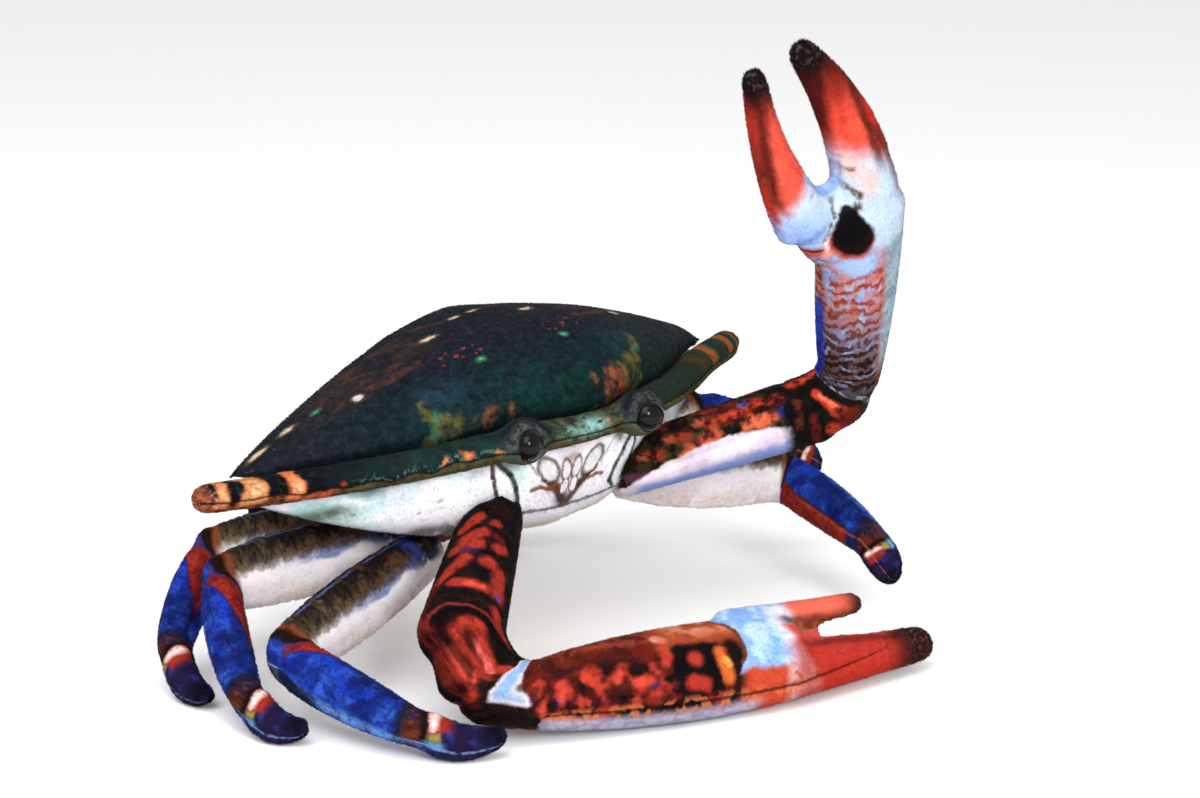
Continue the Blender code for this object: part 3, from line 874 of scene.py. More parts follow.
def rim_print():
    p = Print("roll_velour", (40, 56, 54))
    wave = p.warped(3.4, 9, 2.0)
    x, _, _ = p.split(wave)
    mottle = p.noise(6, 4.0, shift=3.0, rough=0.65)
    fine = p.noise(2.0, 3.0, shift=7.0, rough=0.65)
    top = p.above(p.z, -0.4, 0.5)
    low = p.less(1.0, top)
    p.lay((30, 42, 44), 0.7, top, p.above(mottle, 0.5, 0.12))
    p.lay((32, 76, 66), 0.5, top, p.above(p.noise(8, 2.0, shift=9.0), 0.54, 0.12))
    p.lay((108, 100, 66), 0.9, low)
    p.lay((66, 62, 42), 0.8, low, p.above(mottle, 0.48, 0.14))
    # the left half is a darker olive green
    p.lay((48, 62, 50), 0.8, top, p.above(p.x, 42, 8))
    p.lay((96, 72, 40), 0.7, top, p.band(x, 78, 98, 4),
          p.above(p.noise(5, 2.0, stretch=(0.5, 3, 3), shift=1.0), 0.52, 0.06))
    # the right quarter is blue-black
    p.lay((26, 30, 38), 0.85, top, p.below(x, -88, 16))
    # cream and cyan flecks just above the seam
    line = p.band(p.z, -0.5, 2.6, 0.9)
    p.lay((112, 150, 142), 0.6, line, p.band(p.x, -96, 30, 8),
          p.above(p.noise(2.0, 2.0, shift=4.0), 0.57, 0.07))
    for cx, cz, r in ((-66, 1.6, 1.2), (-56, 1.9, 1.6), (-44, 1.4, 1.1), (11, 2.4, 1.0)):
        p.lay((220, 140, 92), 0.9, p.spot((cx, 8, cz), (r * 1.3, 30, r), 0.6, at=wave))
    # between the eyes
    mid = p.band(p.x, -20, 24, 6)
    p.lay((104, 104, 74), 0.7, mid, p.above(mottle, 0.46, 0.12))
    p.lay((62, 48, 34), 0.75, mid, p.above(p.noise(3.6, 3.0, shift=11.0), 0.55, 0.07))
    p.lay((154, 200, 192), 0.9, p.spot((2, 8, 1.5), (7.5, 40, 3.2), 0.7, at=wave),
          p.above(p.noise(3.0, 3.0, shift=31.0), 0.44, 0.1))
    p.lay((122, 168, 160), 0.8, p.spot((-10, 8, 2), (5, 40, 2.6), 0.7, at=wave),
          p.above(p.noise(2.6, 3.0, shift=33.0), 0.5, 0.08))
    p.lay((140, 72, 40), 0.7, p.band(p.x, -18, 24, 5), p.band(p.z, -7.5, -3.6, 1.2),
          p.above(mottle, 0.46, 0.1))
    # bars at the right end, leaning a little: place along and half width
    lean = p.less(x, p.times(p.z, 0.22))
    ends = p.below(p.x, -108, 3)
    p.lay((22, 21, 24), 0.92, ends, top)
    p.lay((44, 56, 70), 0.6, ends, top, p.above(p.noise(2.4, 2.0, shift=27.0), 0.58, 0.06))
    p.lay((150, 84, 54), 0.9, p.below(p.x, -104, 3), low)
    p.lay((36, 26, 24), 0.9, p.below(p.x, -103, 3), low,
          p.above(p.noise(3.4, 2.0, shift=2.0), 0.5, 0.06))
    for cx, half, tone in ((-139.3, 1.9, (216, 140, 96)), (-130.1, 3.5, (214, 150, 100)),
                           (-117.2, 2.1, (232, 140, 96))):
        bar = p.band(lean, cx - half, cx + half, 0.9)
        p.lay(tone, 0.95, bar, p.above(p.z, -2.5, 1.5))
        p.lay((248, 208, 164), 0.6, p.band(lean, cx - half * 0.5, cx + half * 0.5, 1.2),
              p.band(p.z, 0.5, 5.0, 1.5))
        p.lay((60, 40, 34), 0.4, bar, p.above(p.noise(2.4, 3.0, shift=cx), 0.57, 0.1))
    for cx in (-112.5, -106.5):
        p.lay((214, 96, 66), 0.85, p.spot((cx, 4, -3.4), (2.2, 30, 1.5), 0.5, at=wave))
    p.lay((176, 66, 42), 0.85, p.spot((-102, 7, 1.0), (1.0, 30, 1.5), 0.5))
    cap = p.below(p.x, -142, 1.5)
    p.lay((176, 104, 70), 0.85, cap)
    p.lay((48, 32, 28), 0.7, cap, p.above(p.noise(3.0, 3.0, shift=6.0), 0.50, 0.12))
    p.lay((206, 200, 190), 0.4, p.below(p.x, -140, 1.5),
          p.above(p.noise(1.8, 2.0, shift=8.0), 0.62, 0.06))
    # the left end: two red-orange stripes edged with yellow on green, and a brown cap
    for cx, half in ((101, 1.7), (125, 2.2)):
        stripe = p.add(x, p.times(p.z, 0.3))
        p.lay((128, 116, 66), 0.8, p.band(stripe, cx - half - 2.2, cx + half + 3.0, 1.2),
              p.above(p.z, -1.5, 1.2))
        p.lay((196, 84, 48), 0.9, p.band(stripe, cx - half, cx + half, 0.9), p.above(p.z, 0.0, 1.2))
    p.lay((52, 60, 46), 0.7, p.band(x, 130, 136, 1.2))
    p.lay((128, 60, 42), 0.85, p.above(p.x, 137, 1.6))
    p.lay((160, 140, 84), 0.7, p.band(p.x, 134, 138.5, 1.0), p.above(mottle, 0.44, 0.1))
    p.lay((56, 40, 32), 0.7, p.above(p.x, 136, 2.0),
          p.above(p.noise(3.0, 2.0, shift=3.0), 0.55, 0.06))
    # eye seats: a dark cap, a pale speckled ring and an olive underside
    ragged = p.add(p.z, p.times(p.less(mottle, 0.5), 7.0))
    for cx in EYE_SEATS:
        seat = p.both(p.band(p.x, cx - 11, cx + 11, 1.6), p.above(p.y, 4.5, 2.5))
        p.lay((62, 78, 78), 0.75, seat)
        p.lay((28, 30, 44), 0.92, seat, p.above(ragged, 2.6, 2.8))
        ring = p.both(seat, p.above(p.y, 9.0, 2.2), p.above(p.z, -3, 3))
        p.lay((126, 134, 118), 0.55, ring,
              p.above(p.noise(3.0, 4.0, shift=5.0, rough=0.7), 0.50, 0.2))
        p.lay((28, 27, 28), 0.5, ring, p.above(p.noise(1.2, 3.0, shift=35.0), 0.58, 0.14))
        p.lay((104, 98, 70), 0.8, seat, p.below(p.z, -3.5, 1.8))
    # the stitched seam itself
    seam = p.both(p.below(p.math('ABSOLUTE', p.add(p.z, 0.6)), 0.55, 0.4), p.above(p.y, 0, 1))
    p.lay((16, 16, 16), 0.8, seam)
    p.lay((18, 20, 22), 0.35, p.below(fine, 0.4, 0.12))
    return p.velour(grain=0.24)


give(SKINS["rim"], rim_print())

# %% [markdown]
# ## The print on the belly
#
# The belly is white plush with a drawn face in the middle of its front: two pairs of narrow
# ovals between branching brown lines, and long dark green curves to either side. Faint cyan,
# lilac and olive smudges break up the white, and a greyer lilac over the lower part of the right
# side is painted shade.

# %% Belly print
def belly_print():
    p = Print("belly_velour", (250, 249, 253))
    wave = p.warped(1.1, 5, 2.0)
    x, _, z = p.split(wave)
    broad = p.warped(5, 16, 6.0)
    cloud = p.noise(26, 3.0, shift=2.0)
    smear = p.noise(9, 4.0, shift=5.0, rough=0.6)
    fine = p.noise(2.4, 3.0, shift=41.0)
    p.lay((222, 216, 230), 0.6, p.above(cloud, 0.5, 0.12))
    # painted shade: a greyer lilac over the lower part of the right side
    p.lay((206, 198, 212), 0.5, p.below(p.z, 72, 8), p.below(p.x, -20, 12))
    p.lay((196, 230, 232), 0.7, p.above(p.z, 84, 7), p.above(smear, 0.5, 0.12),
          p.below(p.x, -20, 10))
    side = p.math('ABSOLUTE', p.x)
    p.lay((176, 222, 220), 0.6, p.above(side, 78, 10), p.above(smear, 0.48, 0.12))
    # smudges under the roll
    for cx, cz, rx, rz, tone, share in (
            (-98, 79, 9, 4.5, (92, 150, 132), 0.7), (-98, 79, 5, 2.5, (70, 80, 48), 0.8),
            (-86, 91, 8, 4, (30, 84, 76), 0.85), (-72, 95, 8, 3.5, (46, 96, 88), 0.6),
            (-116, 93, 12, 3.0, (120, 60, 34), 0.8), (-44, 92, 5, 3, (120, 128, 134), 0.5),
            (-31, 93, 4, 3, (110, 112, 118), 0.7), (26, 95, 3, 3, (84, 88, 96), 0.8),
            (98, 79, 9, 4.5, (92, 150, 132), 0.7), (86, 91, 8, 4, (30, 84, 76), 0.8),
            (116, 93, 12, 3.0, (120, 60, 34), 0.8)):
        p.lay(tone, share, p.spot((cx, -40, cz), (rx, 400, rz), 0.8, at=broad),
              p.above(smear, 0.36, 0.12))
    for cx, cz, r in ((-90, 78, 0.8), (-59, 81, 0.8), (-66, 77, 0.6), (60, 79, 0.8)):
        p.lay((104, 82, 40), 0.6, p.spot((cx, -40, cz), (r * 1.2, 400, r), 0.9, at=wave))
    p.lay((176, 120, 64), 0.8, p.stroke((-103, -26, 90), (-101, -26, 85), 0.5, at=wave))
    p.lay((190, 140, 84), 0.7, p.stroke((-72, -44, 92), (-69, -44, 84), 0.4, at=wave))
    # the underside: beige behind a dark line along the lower edge of the face
    under = p.both(p.above(p.y, -46, 2.0), p.below(p.z, 70, 3), p.band(p.x, -36, 60, 4))
    p.lay((222, 206, 176), 0.8, under)
    p.lay((170, 164, 150), 0.5, under, p.above(smear, 0.5, 0.1))
    # the face, drawn flat: across and up
    face = p.point(x, z)
    front = p.below(p.y, -40, 3)
    brown, green, rust = (66, 42, 34), (30, 44, 38), (132, 70, 40)

    def line(points, width, tone, share=0.95):
        for a, b in zip(points, points[1:]):
            p.lay(tone, share, front, p.stroke((*a, 0), (*b, 0), width, soft=0.6, at=face))

    def oval(cx, cz, rx, rz, turn):
        return p.oval((cx, cz, 0), (rx, rz, 1), face, turn)

    # a brown web, and pale ovals over it: two small pairs and a large leaning one to either side
    ovals = [(side * cx, cz, rx, rz, side * turn) for side in (-1, 1) for cx, cz, rx, rz, turn in
             ((2.7, 86.2, 2.5, 4.8, -8), (2.4, 78.8, 2.0, 3.6, 6), (11.8, 87.5, 4.0, 7.0, -42))]
    for cx, cz, rx, rz, turn in ovals:
        p.lay(brown, 0.85, front, p.below(oval(cx, cz, rx, rz, turn), 1.16, 0.14))
    for side in (-1, 1):
        line(((side * 1.5, 71.5), (side * 6.5, 78.5), (side * 9.5, 81)), 1.9, brown)
        line(((side * 9.5, 81), (side * 14, 84)), 1.0, brown)
        line(((side * 8, 79), (side * 15, 80.5), (side * 19, 80)), 1.0, rust)
        line(((side * 24, 94.5), (side * 20, 90), (side * 17, 86)), 0.5, rust, 0.5)
        # the side curves
        line(((side * 38, 94.5), (side * 38.5, 89), (side * 36, 82), (side * 33, 75)), 0.9, brown)
        line(((side * 36, 94.5), (side * 31, 89), (side * 27, 82), (side * 25, 75), (side * 28, 72)),
             1.2, green)
    p.lay(brown, 0.85, front, p.spot((-2, 73.5, 0), (4.2, 3.4, 90), 0.8, at=face),
          p.above(smear, 0.38, 0.12))
    p.lay(rust, 0.8, front, p.spot((-7, 79.5, 0), (3.0, 2.6, 90), 0.9, at=face),
          p.above(fine, 0.4, 0.1))
    p.lay(brown, 0.8, front, p.spot((8, 80, 0), (2.8, 2.4, 90), 0.9, at=face),
          p.above(fine, 0.44, 0.1))
    p.lay(rust, 0.6, front, p.spot((0, 91.5, 0), (4, 2, 90), 0.9, at=face))
    for cx, cz, rx, rz, turn in ovals:
        inside = p.below(oval(cx, cz, rx, rz, turn), 0.84, 0.16)
        p.lay((244, 238, 238), 0.92, front, inside)
    # the lower edge of the face, lowest in the middle
    chin = p.add(69.5, p.times(p.math('POWER', p.over(p.x, 40.0), 2.0), 2.0))
    lower = p.math('ABSOLUTE', p.less(z, chin))
    p.lay((50, 42, 38), 0.85, p.below(lower, 0.8, 0.5), p.band(p.x, -40, 44, 3),
          p.below(p.y, -38, 3))
    # dark brown band behind the claw's root
    p.lay((54, 34, 26), 0.8, p.band(p.x, -66, -38, 4), p.below(p.z, 70, 2.2),
          p.above(smear, 0.42, 0.1))
    return p.velour(rough=0.9, sheen=0.1, grain=0.09, bump=0.16, deep=1.0)


give(SKINS["belly"], belly_print())

# %% [markdown]
# ## The print on the walking legs
#
# The upper length of a leg is white, with painted lilac shade on its underside, under a ragged
# band of brown and gold-green that runs along its top, with blue showing below the band near the
# body. The knee is ringed in orange-brown and black. The lower length is bright blue, mottled with
# navy, with a painted light-blue highlight along one lower edge and a painted highlight on the
# seam of the foot, and a red wedge on the inner side of the knee. A brown ankle ring and a pale
# patch part it from the purple foot.
# Angles round the limb place every mark, and one value turns the lower marks on left legs.

# %% Leg print
KNEE, ANKLE = LEG_MARKS[1], LEG_MARKS[2]
LOWER_TWIST = {"right": 0, "left": 95}
WEDGE_TURN = {"right": 142, "left": 212}
WEDGE_TAPER = {"right": 0.36, "left": 0.05}


def leg_print(side):
    p = Print(f"leg_velour_{side}", (244, 238, 240))
    twist = LOWER_TWIST[side]
    wave = p.warped(2.0, 6, 1.0)
    broad = p.warped(5, 15, 2.0)
    x, _, _ = p.split(wave)
    bx, _, _ = p.split(broad)
    mottle = p.noise(6, 3.0, shift=3.0, rough=0.6)
    cloud = p.noise(16, 2.0, shift=6.0)
    # painted shade: a greyer lilac over the underside of the leg
    p.lay((206, 192, 200), 0.5, p.facing(270, 70, 0.4), p.above(cloud, 0.44, 0.15))
    p.lay((222, 186, 150), 0.45, p.facing(275, 50, 0.3), p.above(mottle, 0.5, 0.12))
    # the blue edge and the band along the top
    torn = p.warped(2.4, 3.0, 7.0)
    blue_edge = p.both(p.facing(92, 68, 0.14, at=broad), p.band(bx, 8, 62, 12), p.above(mottle, 0.38, 0.14))
    p.lay((70, 104, 168), 0.75, blue_edge)
    band = p.facing(92, 50, 0.20, at=torn)
    p.lay((66, 50, 34), 0.92, band)
    speck = p.noise(2.6, 3.0, stretch=(0.85, 1.3, 1.3), shift=4.0, rough=0.65)
    p.lay((120, 96, 54), 0.7, band, p.above(speck, 0.5, 0.14), p.above(bx, 34, 14))
    p.lay((104, 62, 38), 0.7, band, p.above(speck, 0.50, 0.14), p.below(bx, 56, 14))
    p.lay((28, 25, 24), 0.7, band, p.below(speck, 0.46, 0.12))
    p.lay((20, 17, 20), 0.85, p.facing(84, 30, 0.12, at=broad), p.above(mottle, 0.38, 0.14))
    p.lay((20, 24, 52), 0.85, p.below(bx, 22, 8), p.facing(100, 80, 0.3), p.above(mottle, 0.44, 0.1))
    p.lay((50, 92, 190), 0.6, p.band(bx, 10, 24, 4), p.facing(104, 40, 0.2),
          p.above(cloud, 0.54, 0.06))
    rail = p.both(p.band(p.y, 0.9, 2.0, 0.5), p.above(p.z, 3, 1), p.band(p.x, 16, 90, 8))
    p.lay((104, 126, 172), 0.6, rail, p.above(mottle, 0.44, 0.12))
    # the knee
    p.lay((142, 78, 48), 0.8, p.band(x, KNEE - 8, KNEE, 2.5), p.facing(95, 84, 0.3))
    p.lay((24, 17, 16), 0.95, p.band(x, KNEE - 4.5, KNEE + 1.5, 1.5), p.facing(100, 95, 0.2))
    # the lower length
    lower = p.above(x, KNEE, 1.2)
    p.lay((38, 72, 184), 1.0, lower)
    p.lay((78, 126, 218), 0.55, lower, p.above(p.noise(9, 3.0, shift=8.0, rough=0.65), 0.52, 0.14))
    p.lay((26, 32, 104), 0.7, lower, p.above(p.noise(9, 4.0, shift=11.0, rough=0.65), 0.51, 0.09))
    p.lay((18, 22, 74), 0.7, p.band(bx, 132, 162, 9), p.facing(70 + twist, 84, 0.25, at=broad),
          p.above(mottle, 0.44, 0.12))
    # painted highlight: a light-blue streak along one lower edge of the lower length, beside the seam on
    # right legs
    p.lay((126, 178, 230), 0.75, p.band(bx, 112, 168, 6), p.facing(-38 + twist, 18, 0.1),
          p.above(mottle, 0.42, 0.12))
    p.lay((28, 38, 34), 0.9, p.band(bx, 98, 122, 4), p.facing(-52 + twist, 34, 0.1))
    # the red wedge is widest at the knee
    taper = p.times(p.above(p.x, 126, 24), WEDGE_TAPER[side])
    inward = p.less(p.toward(WEDGE_TURN[side], wave), taper)
    wedge = p.both(p.above(inward, 0.70, 0.05), p.band(x, KNEE + 1, 154, 2))
    p.lay((60, 22, 26), 0.7, p.above(inward, 0.64, 0.05), lower, p.below(x, 156, 3))
    p.lay((160, 56, 36), 0.95, wedge)
    p.lay((110, 28, 24), 0.6, wedge, p.above(mottle, 0.52, 0.1))
    # the ankle and the foot
    fine = p.noise(2.0, 3.0, shift=17.0, rough=0.7)
    p.lay((12, 14, 30), 0.4, lower, p.below(fine, 0.44, 0.16))
    p.lay((34, 38, 40), 0.8, p.above(bx, ANKLE - 6, 4), p.facing(70 + twist, 100, 0.3))
    p.lay((120, 62, 36), 0.9, p.above(x, ANKLE - 2.5, 1.4), p.facing(70 + twist, 120, 0.3),
          p.above(mottle, 0.45, 0.12))
    p.lay((34, 24, 24), 0.75, p.above(x, ANKLE - 6, 2), p.above(fine, 0.50, 0.14))
    p.lay((34, 28, 74), 1.0, p.above(x, ANKLE + 2.5, 1.2))
    p.lay((66, 76, 156), 0.5, p.above(x, ANKLE + 4, 3),
          p.above(p.noise(5, 3.0, shift=14.0), 0.54, 0.09))
    p.lay((44, 32, 62), 0.8, p.above(x, ANKLE + 9, 5), p.above(mottle, 0.42, 0.15))
    across = p.facing(72 + twist, 50, 0.16, at=wave)
    p.lay((160, 56, 34), 0.95, p.band(x, ANKLE + 2, ANKLE + 12.5, 2.5), across)
    p.lay((240, 216, 212), 0.95, p.band(x, ANKLE + 3.2, ANKLE + 7.0, 1.8),
          p.facing(72 + twist, 40, 0.16, at=torn), p.above(fine, 0.34, 0.2))
    p.lay((24, 16, 16), 0.95, p.band(x, ANKLE + 0.6, ANKLE + 2.8, 0.8),
          p.facing(70 + twist, 110, 0.2))
    p.lay((176, 158, 60), 0.8, p.band(x, ANKLE + 3, ANKLE + 8.5, 1.2),
          p.facing(6 + twist, 14, 0.04, at=wave))
    p.lay((120, 176, 206), 0.8, p.band(x, ANKLE + 2, ANKLE + 9.5, 1.5),
          p.facing(-26 + twist, 14, 0.04, at=wave))
    p.lay((14, 12, 18), 0.85, p.above(x, LEG_MARKS[3] - 11, 4),
          p.above(p.noise(4, 3.0, shift=5.0), 0.42, 0.1))
    # a pale line along the seam of the foot: painted highlight where the seam's edge catches the light
    seam_glint = p.facing(-38 if side == "right" else 180, 5.0, 0.004)
    glint_tone = (150, 176, 222) if side == "right" else (190, 110, 96)
    p.lay(glint_tone, 0.55, seam_glint, p.above(x, 118, 14), p.above(p.noise(2.4, 2.0, shift=2.0), 0.44, 0.12))
    return p.velour(grain=0.22)


# %% [markdown]
# ## The print on the swimming legs
#
# The last pair ends in flat paddles. They are maroon under a blue and black upper edge, with
# olive smears near the body.

# %% Swimming leg print
def swim_print():
    p = Print("swim_velour", (116, 44, 38))
    wave = p.warped(3.0, 8, 1.0)
    x, _, _ = p.split(wave)
    mottle = p.noise(6, 3.0, shift=3.0, rough=0.6)
    p.lay((160, 70, 48), 0.7, p.above(p.noise(9, 3.0, shift=7.0), 0.52, 0.08))
    p.lay((30, 20, 22), 0.85, p.above(mottle, 0.56, 0.07))
    p.lay((84, 78, 46), 0.6, p.below(x, 30, 8), p.above(mottle, 0.42, 0.1))
    p.lay((40, 66, 150), 0.85, p.facing(90, 40, 0.12, at=wave),
          p.above(p.noise(12, 2.0, shift=9.0), 0.4, 0.1))
    p.lay((18, 18, 36), 0.8, p.facing(90, 24, 0.08, at=wave), p.above(mottle, 0.46, 0.1))
    p.lay((206, 150, 110), 0.7, p.band(x, 64, 70, 2), p.facing(200, 60, 0.2))
    p.lay((22, 20, 40), 0.9, p.above(x, 98, 5))
    return p.velour(grain=0.22)


# %% [markdown]
# ## The print on the lowered claw
#
# This claw is near black with soft red and orange marks that lie across the arm, tight arches at
# the elbow, and a pale blue wrist stripe. The palm is red-brown above and netted in black below,
# with orange in the gaps, and turns light blue at the hinge. The fingers are red-orange with
# black tips. The cloth is laid flat in the nodes, so each mark is a stroke between two places,
# each given as how far along the limb it is and at what angle round it.

# %% Lowered claw print
# the plane between the fingers: how it slopes along the claw, and its height at the root
FINGER_PLANE = {"claw_right": (0.05, 0.0), "claw_left": (0.245, -37.0)}
# how far along the claw the moving finger and the fixed one turn black
FINGER_DARK = {"claw_right": (257, 271), "claw_left": (274, 280)}


def strokes(p, at, radius, marks, soft=0.55):
    """Lays soft marks on a limb's flat cloth: two ends, a half width, a colour and a strength."""
    for start, end, width, tone, share in marks:
        ends = [(along, math.radians(turn) * radius, 0) for along, turn in (start, end)]
        p.lay(tone, share, p.stroke(*ends, width, soft=soft, at=at))


def arches(p, at, radius, centre, sizes, width, tone, share):
    """Concentric curved lines about one place on the flat cloth."""
    middle = (centre[0], math.radians(centre[1]) * radius, 0)
    off = p.vector('MULTIPLY', p.vector('SUBTRACT', at, middle), (1, 0.62, 1))
    away = p.vector('LENGTH', off)
    front = p.below(p.split(off)[0], 1.5, 1.5)
    for size in sizes:
        line = p.below(p.math('ABSOLUTE', p.less(away, size)), width, width * 0.6)
        p.lay(tone, share, line, front)


def worn_tips(p, name, x, moving, fixed):
    """Grey flecks where the black of the finger tips has rubbed off."""
    worn = p.above(p.noise(1.6, 3.0, shift=71.0), 0.58, 0.10)
    for finger, start in zip((moving, fixed), FINGER_DARK[name]):
        p.lay((132, 126, 124), 0.3, finger, p.above(x, start + 5, 4), worn)


def low_claw_print():
    p = Print("claw_velour_right", (26, 20, 22))
    wave = p.warped(2.0, 6, 1.0)
    x, _, z = p.split(wave)
    mottle = p.noise(6, 3.0, shift=3.0, rough=0.65)
    blob = p.noise(8.5, 2.0, shift=5.0)
    red, orange, dark = (186, 68, 54), (224, 98, 74), (112, 36, 32)
    hidden = p.facing(240, 84, 0.2)
    fine = p.noise(2.0, 3.0, shift=17.0, rough=0.7)
    p.lay((58, 34, 28), 0.6, p.above(mottle, 0.5, 0.1))
    p.lay(dark, 0.85, hidden, p.above(blob, 0.5, 0.06))
    p.lay(red, 0.85, hidden, p.above(blob, 0.57, 0.06))
    # the arm and the elbow
    arm, round_arm = p.laid_flat(18, 60, rag=1.3, shift=2.0), 18
    strokes(p, arm, round_arm, (
        ((20, 70), (26, 52), 2.3, red, 0.9), ((23, 90), (23, 96), 1.7, red, 0.8),
        ((29, 78), (33, 56), 2.6, red, 0.9), ((31, 104), (30, 94), 1.6, dark, 0.8),
        ((36, 72), (38, 50), 3.0, red, 0.85), ((36, 98), (35, 108), 2.4, red, 0.85),
        ((45, 87), (45, 88), 3.0, red, 0.95), ((44, 62), (56, 40), 2.5, red, 0.9),
        ((49, 104), (60, 104), 3.4, red, 0.85), ((60, 84), (60, 60), 2.8, red, 0.9),
        ((60, 82), (60, 70), 1.6, orange, 0.7), ((60, 36), (74, 26), 2.4, dark, 0.9),
        ((70, 104), (80, 112), 2.8, red, 0.85), ((81, 76), (82, 66), 3.2, red, 0.95),
        ((84, 46), (85, 30), 3.4, red, 0.95), ((88, 12), (89, -2), 3.6, red, 0.95),
        ((85, 38), (86, 32), 2.0, orange, 0.7), ((78, 22), (79, 8), 2.4, red, 0.85),
        ((86, 70), (90, 52), 2.8, red, 0.9), ((86, 66), (88, 60), 1.5, (222, 120, 110), 0.8),
        ((91, 78), (92, 62), 2.2, red, 0.9), ((84, 10), (94, -20), 2.6, dark, 0.7)))
    arches(p, arm, round_arm, (84, 72), (9.5,), 0.7, red, 0.55)
    arches(p, arm, round_arm, (84, 72), (6.6,), 1.6, (12, 10, 14), 0.9)
    p.lay((12, 10, 14), 0.45, p.below(fine, 0.44, 0.14))
    strokes(p, arm, round_arm, (((39, 60), (40, 72), 1.6, (60, 40, 96), 0.6),
                                ((61, 103), (61, 104), 1.4, (84, 90, 190), 0.8)))
    knots = p.noise(6.5, 2.0, shift=57.0, rough=0.45)
    p.lay((18, 14, 18), 0.85, p.band(x, 78, 98, 4), p.below(knots, 0.48, 0.10))
    # the pale wrist stripe runs slantwise round the limb
    slant = p.add(x, p.times(z, 0.36))
    p.lay((214, 206, 214), 0.95, p.band(slant, 96.6, 102.4, 0.7), p.facing(66, 66, 0.1, at=wave))
    p.lay((140, 172, 208), 0.95, p.band(slant, 97.6, 101.2, 0.8), p.facing(68, 60, 0.1, at=wave))
    # the palm
    palm, round_palm = p.laid_flat(17, 40, rag=1.4, shift=6.0), 17
    on_palm = p.above(slant, 102.5, 0.8)
    p.lay((112, 42, 32), 0.95, on_palm, p.above(z, 2, 3.5))
    p.lay((176, 84, 60), 0.7, on_palm, p.above(z, 10, 4),
          p.above(p.noise(11, 3.0, (2.5, 1, 1), 9.0), 0.47, 0.1))
    p.lay((84, 28, 24), 0.7, on_palm, p.above(z, 3, 3), p.above(mottle, 0.52, 0.09))
    p.lay((20, 16, 20), 0.9, p.above(slant, 108, 4), p.below(x, 150, 6), p.band(z, -4, 4.5, 3))
    strokes(p, palm, round_palm,
            (((104, 34), (106, 12), 2.2, red, 0.9), ((108, -8), (112, -20), 3.0, red, 0.95),
             ((112, 14), (116, -34), 3.4, dark, 0.85), ((118, 6), (120, -36), 3.0, red, 0.85),
             ((129, 8), (128, -40), 3.4, red, 0.9), ((138, -24), (150, -22), 3.6, red, 0.9),
             ((139, -20), (148, -20), 2.0, orange, 0.8), ((146, 30), (154, 26), 2.2, dark, 0.8),
             ((152, -38), (158, -36), 2.6, red, 0.8), ((160, -8), (162, 30), 2.6, red, 0.9),
             ((112, -30), (114, -26), 1.8, (92, 70, 150), 0.8),
             ((153, -30), (154, -28), 1.4, (84, 60, 130), 0.8),
             ((130, -52), (160, -54), 2.0, dark, 0.7),
             ((160, 44), (163, 40), 2.0, (236, 176, 160), 0.85)))
    # black blotches between the red ones, and thin dark threads over the brown
    web = p.noise(6.5, 2.0, shift=52.0, rough=0.4)
    p.lay((20, 16, 20), 0.85, on_palm, p.below(x, 166, 8), p.below(z, 3, 4),
          p.below(web, 0.46, 0.12))
    p.lay(red, 0.8, on_palm, p.below(x, 166, 8), p.band(z, -12, 2, 3), p.above(web, 0.54, 0.12))
    p.lay(orange, 0.5, on_palm, p.below(x, 166, 8), p.band(z, -12, 2, 3), p.above(web, 0.62, 0.10))
    p.lay((62, 30, 28), 0.7, on_palm, p.below(x, 190, 8), p.above(z, 0, 4), p.below(web, 0.42, 0.08))
    # the black net with orange eyes
    p.lay((176, 86, 54), 0.8, p.above(x, 160, 5), p.above(z, 6, 3))
    p.lay((222, 158, 126), 0.7, p.above(x, 166, 5), p.above(z, 11, 3), p.above(blob, 0.44, 0.1))
    strokes(p, palm, round_palm,
            (((166, -34), (168, 14), 3.2, (20, 16, 20), 0.95),
             ((168, 18), (182, 14), 3.0, (20, 16, 20), 0.95),
             ((178, 10), (181, -40), 4.0, (20, 16, 20), 0.95),
             ((190, 14), (194, -36), 3.2, (28, 22, 24), 0.95), ((173, 2), (173, 0), 3.0, red, 0.95),
             ((170, -32), (175, -36), 3.0, red, 0.9),
             ((184, 6), (186, -34), 2.6, (216, 116, 60), 0.9),
             ((186, -8), (187, -16), 1.6, (232, 170, 90), 0.8)))
    # light blue at the hinge, edged by a brown curve
    rim_of_blue = p.less(x, p.times(p.math('POWER', p.over(p.less(z, 4.0), 16.0), 2.0), -10.0))
    blue = p.both(p.above(rim_of_blue, 196, 1.0), p.above(z, -7, 2.0))
    p.lay((188, 214, 238), 0.98, blue)
    p.lay((128, 166, 226), 0.8, blue, p.above(p.noise(9, 3.0, shift=12.0), 0.48, 0.1))
    p.lay((112, 66, 36), 0.9, p.band(rim_of_blue, 194.2, 196.6, 0.7), p.above(z, -4, 2))
    p.lay((206, 88, 60), 0.9, p.above(x, 193, 4), p.below(z, -7, 2.0))
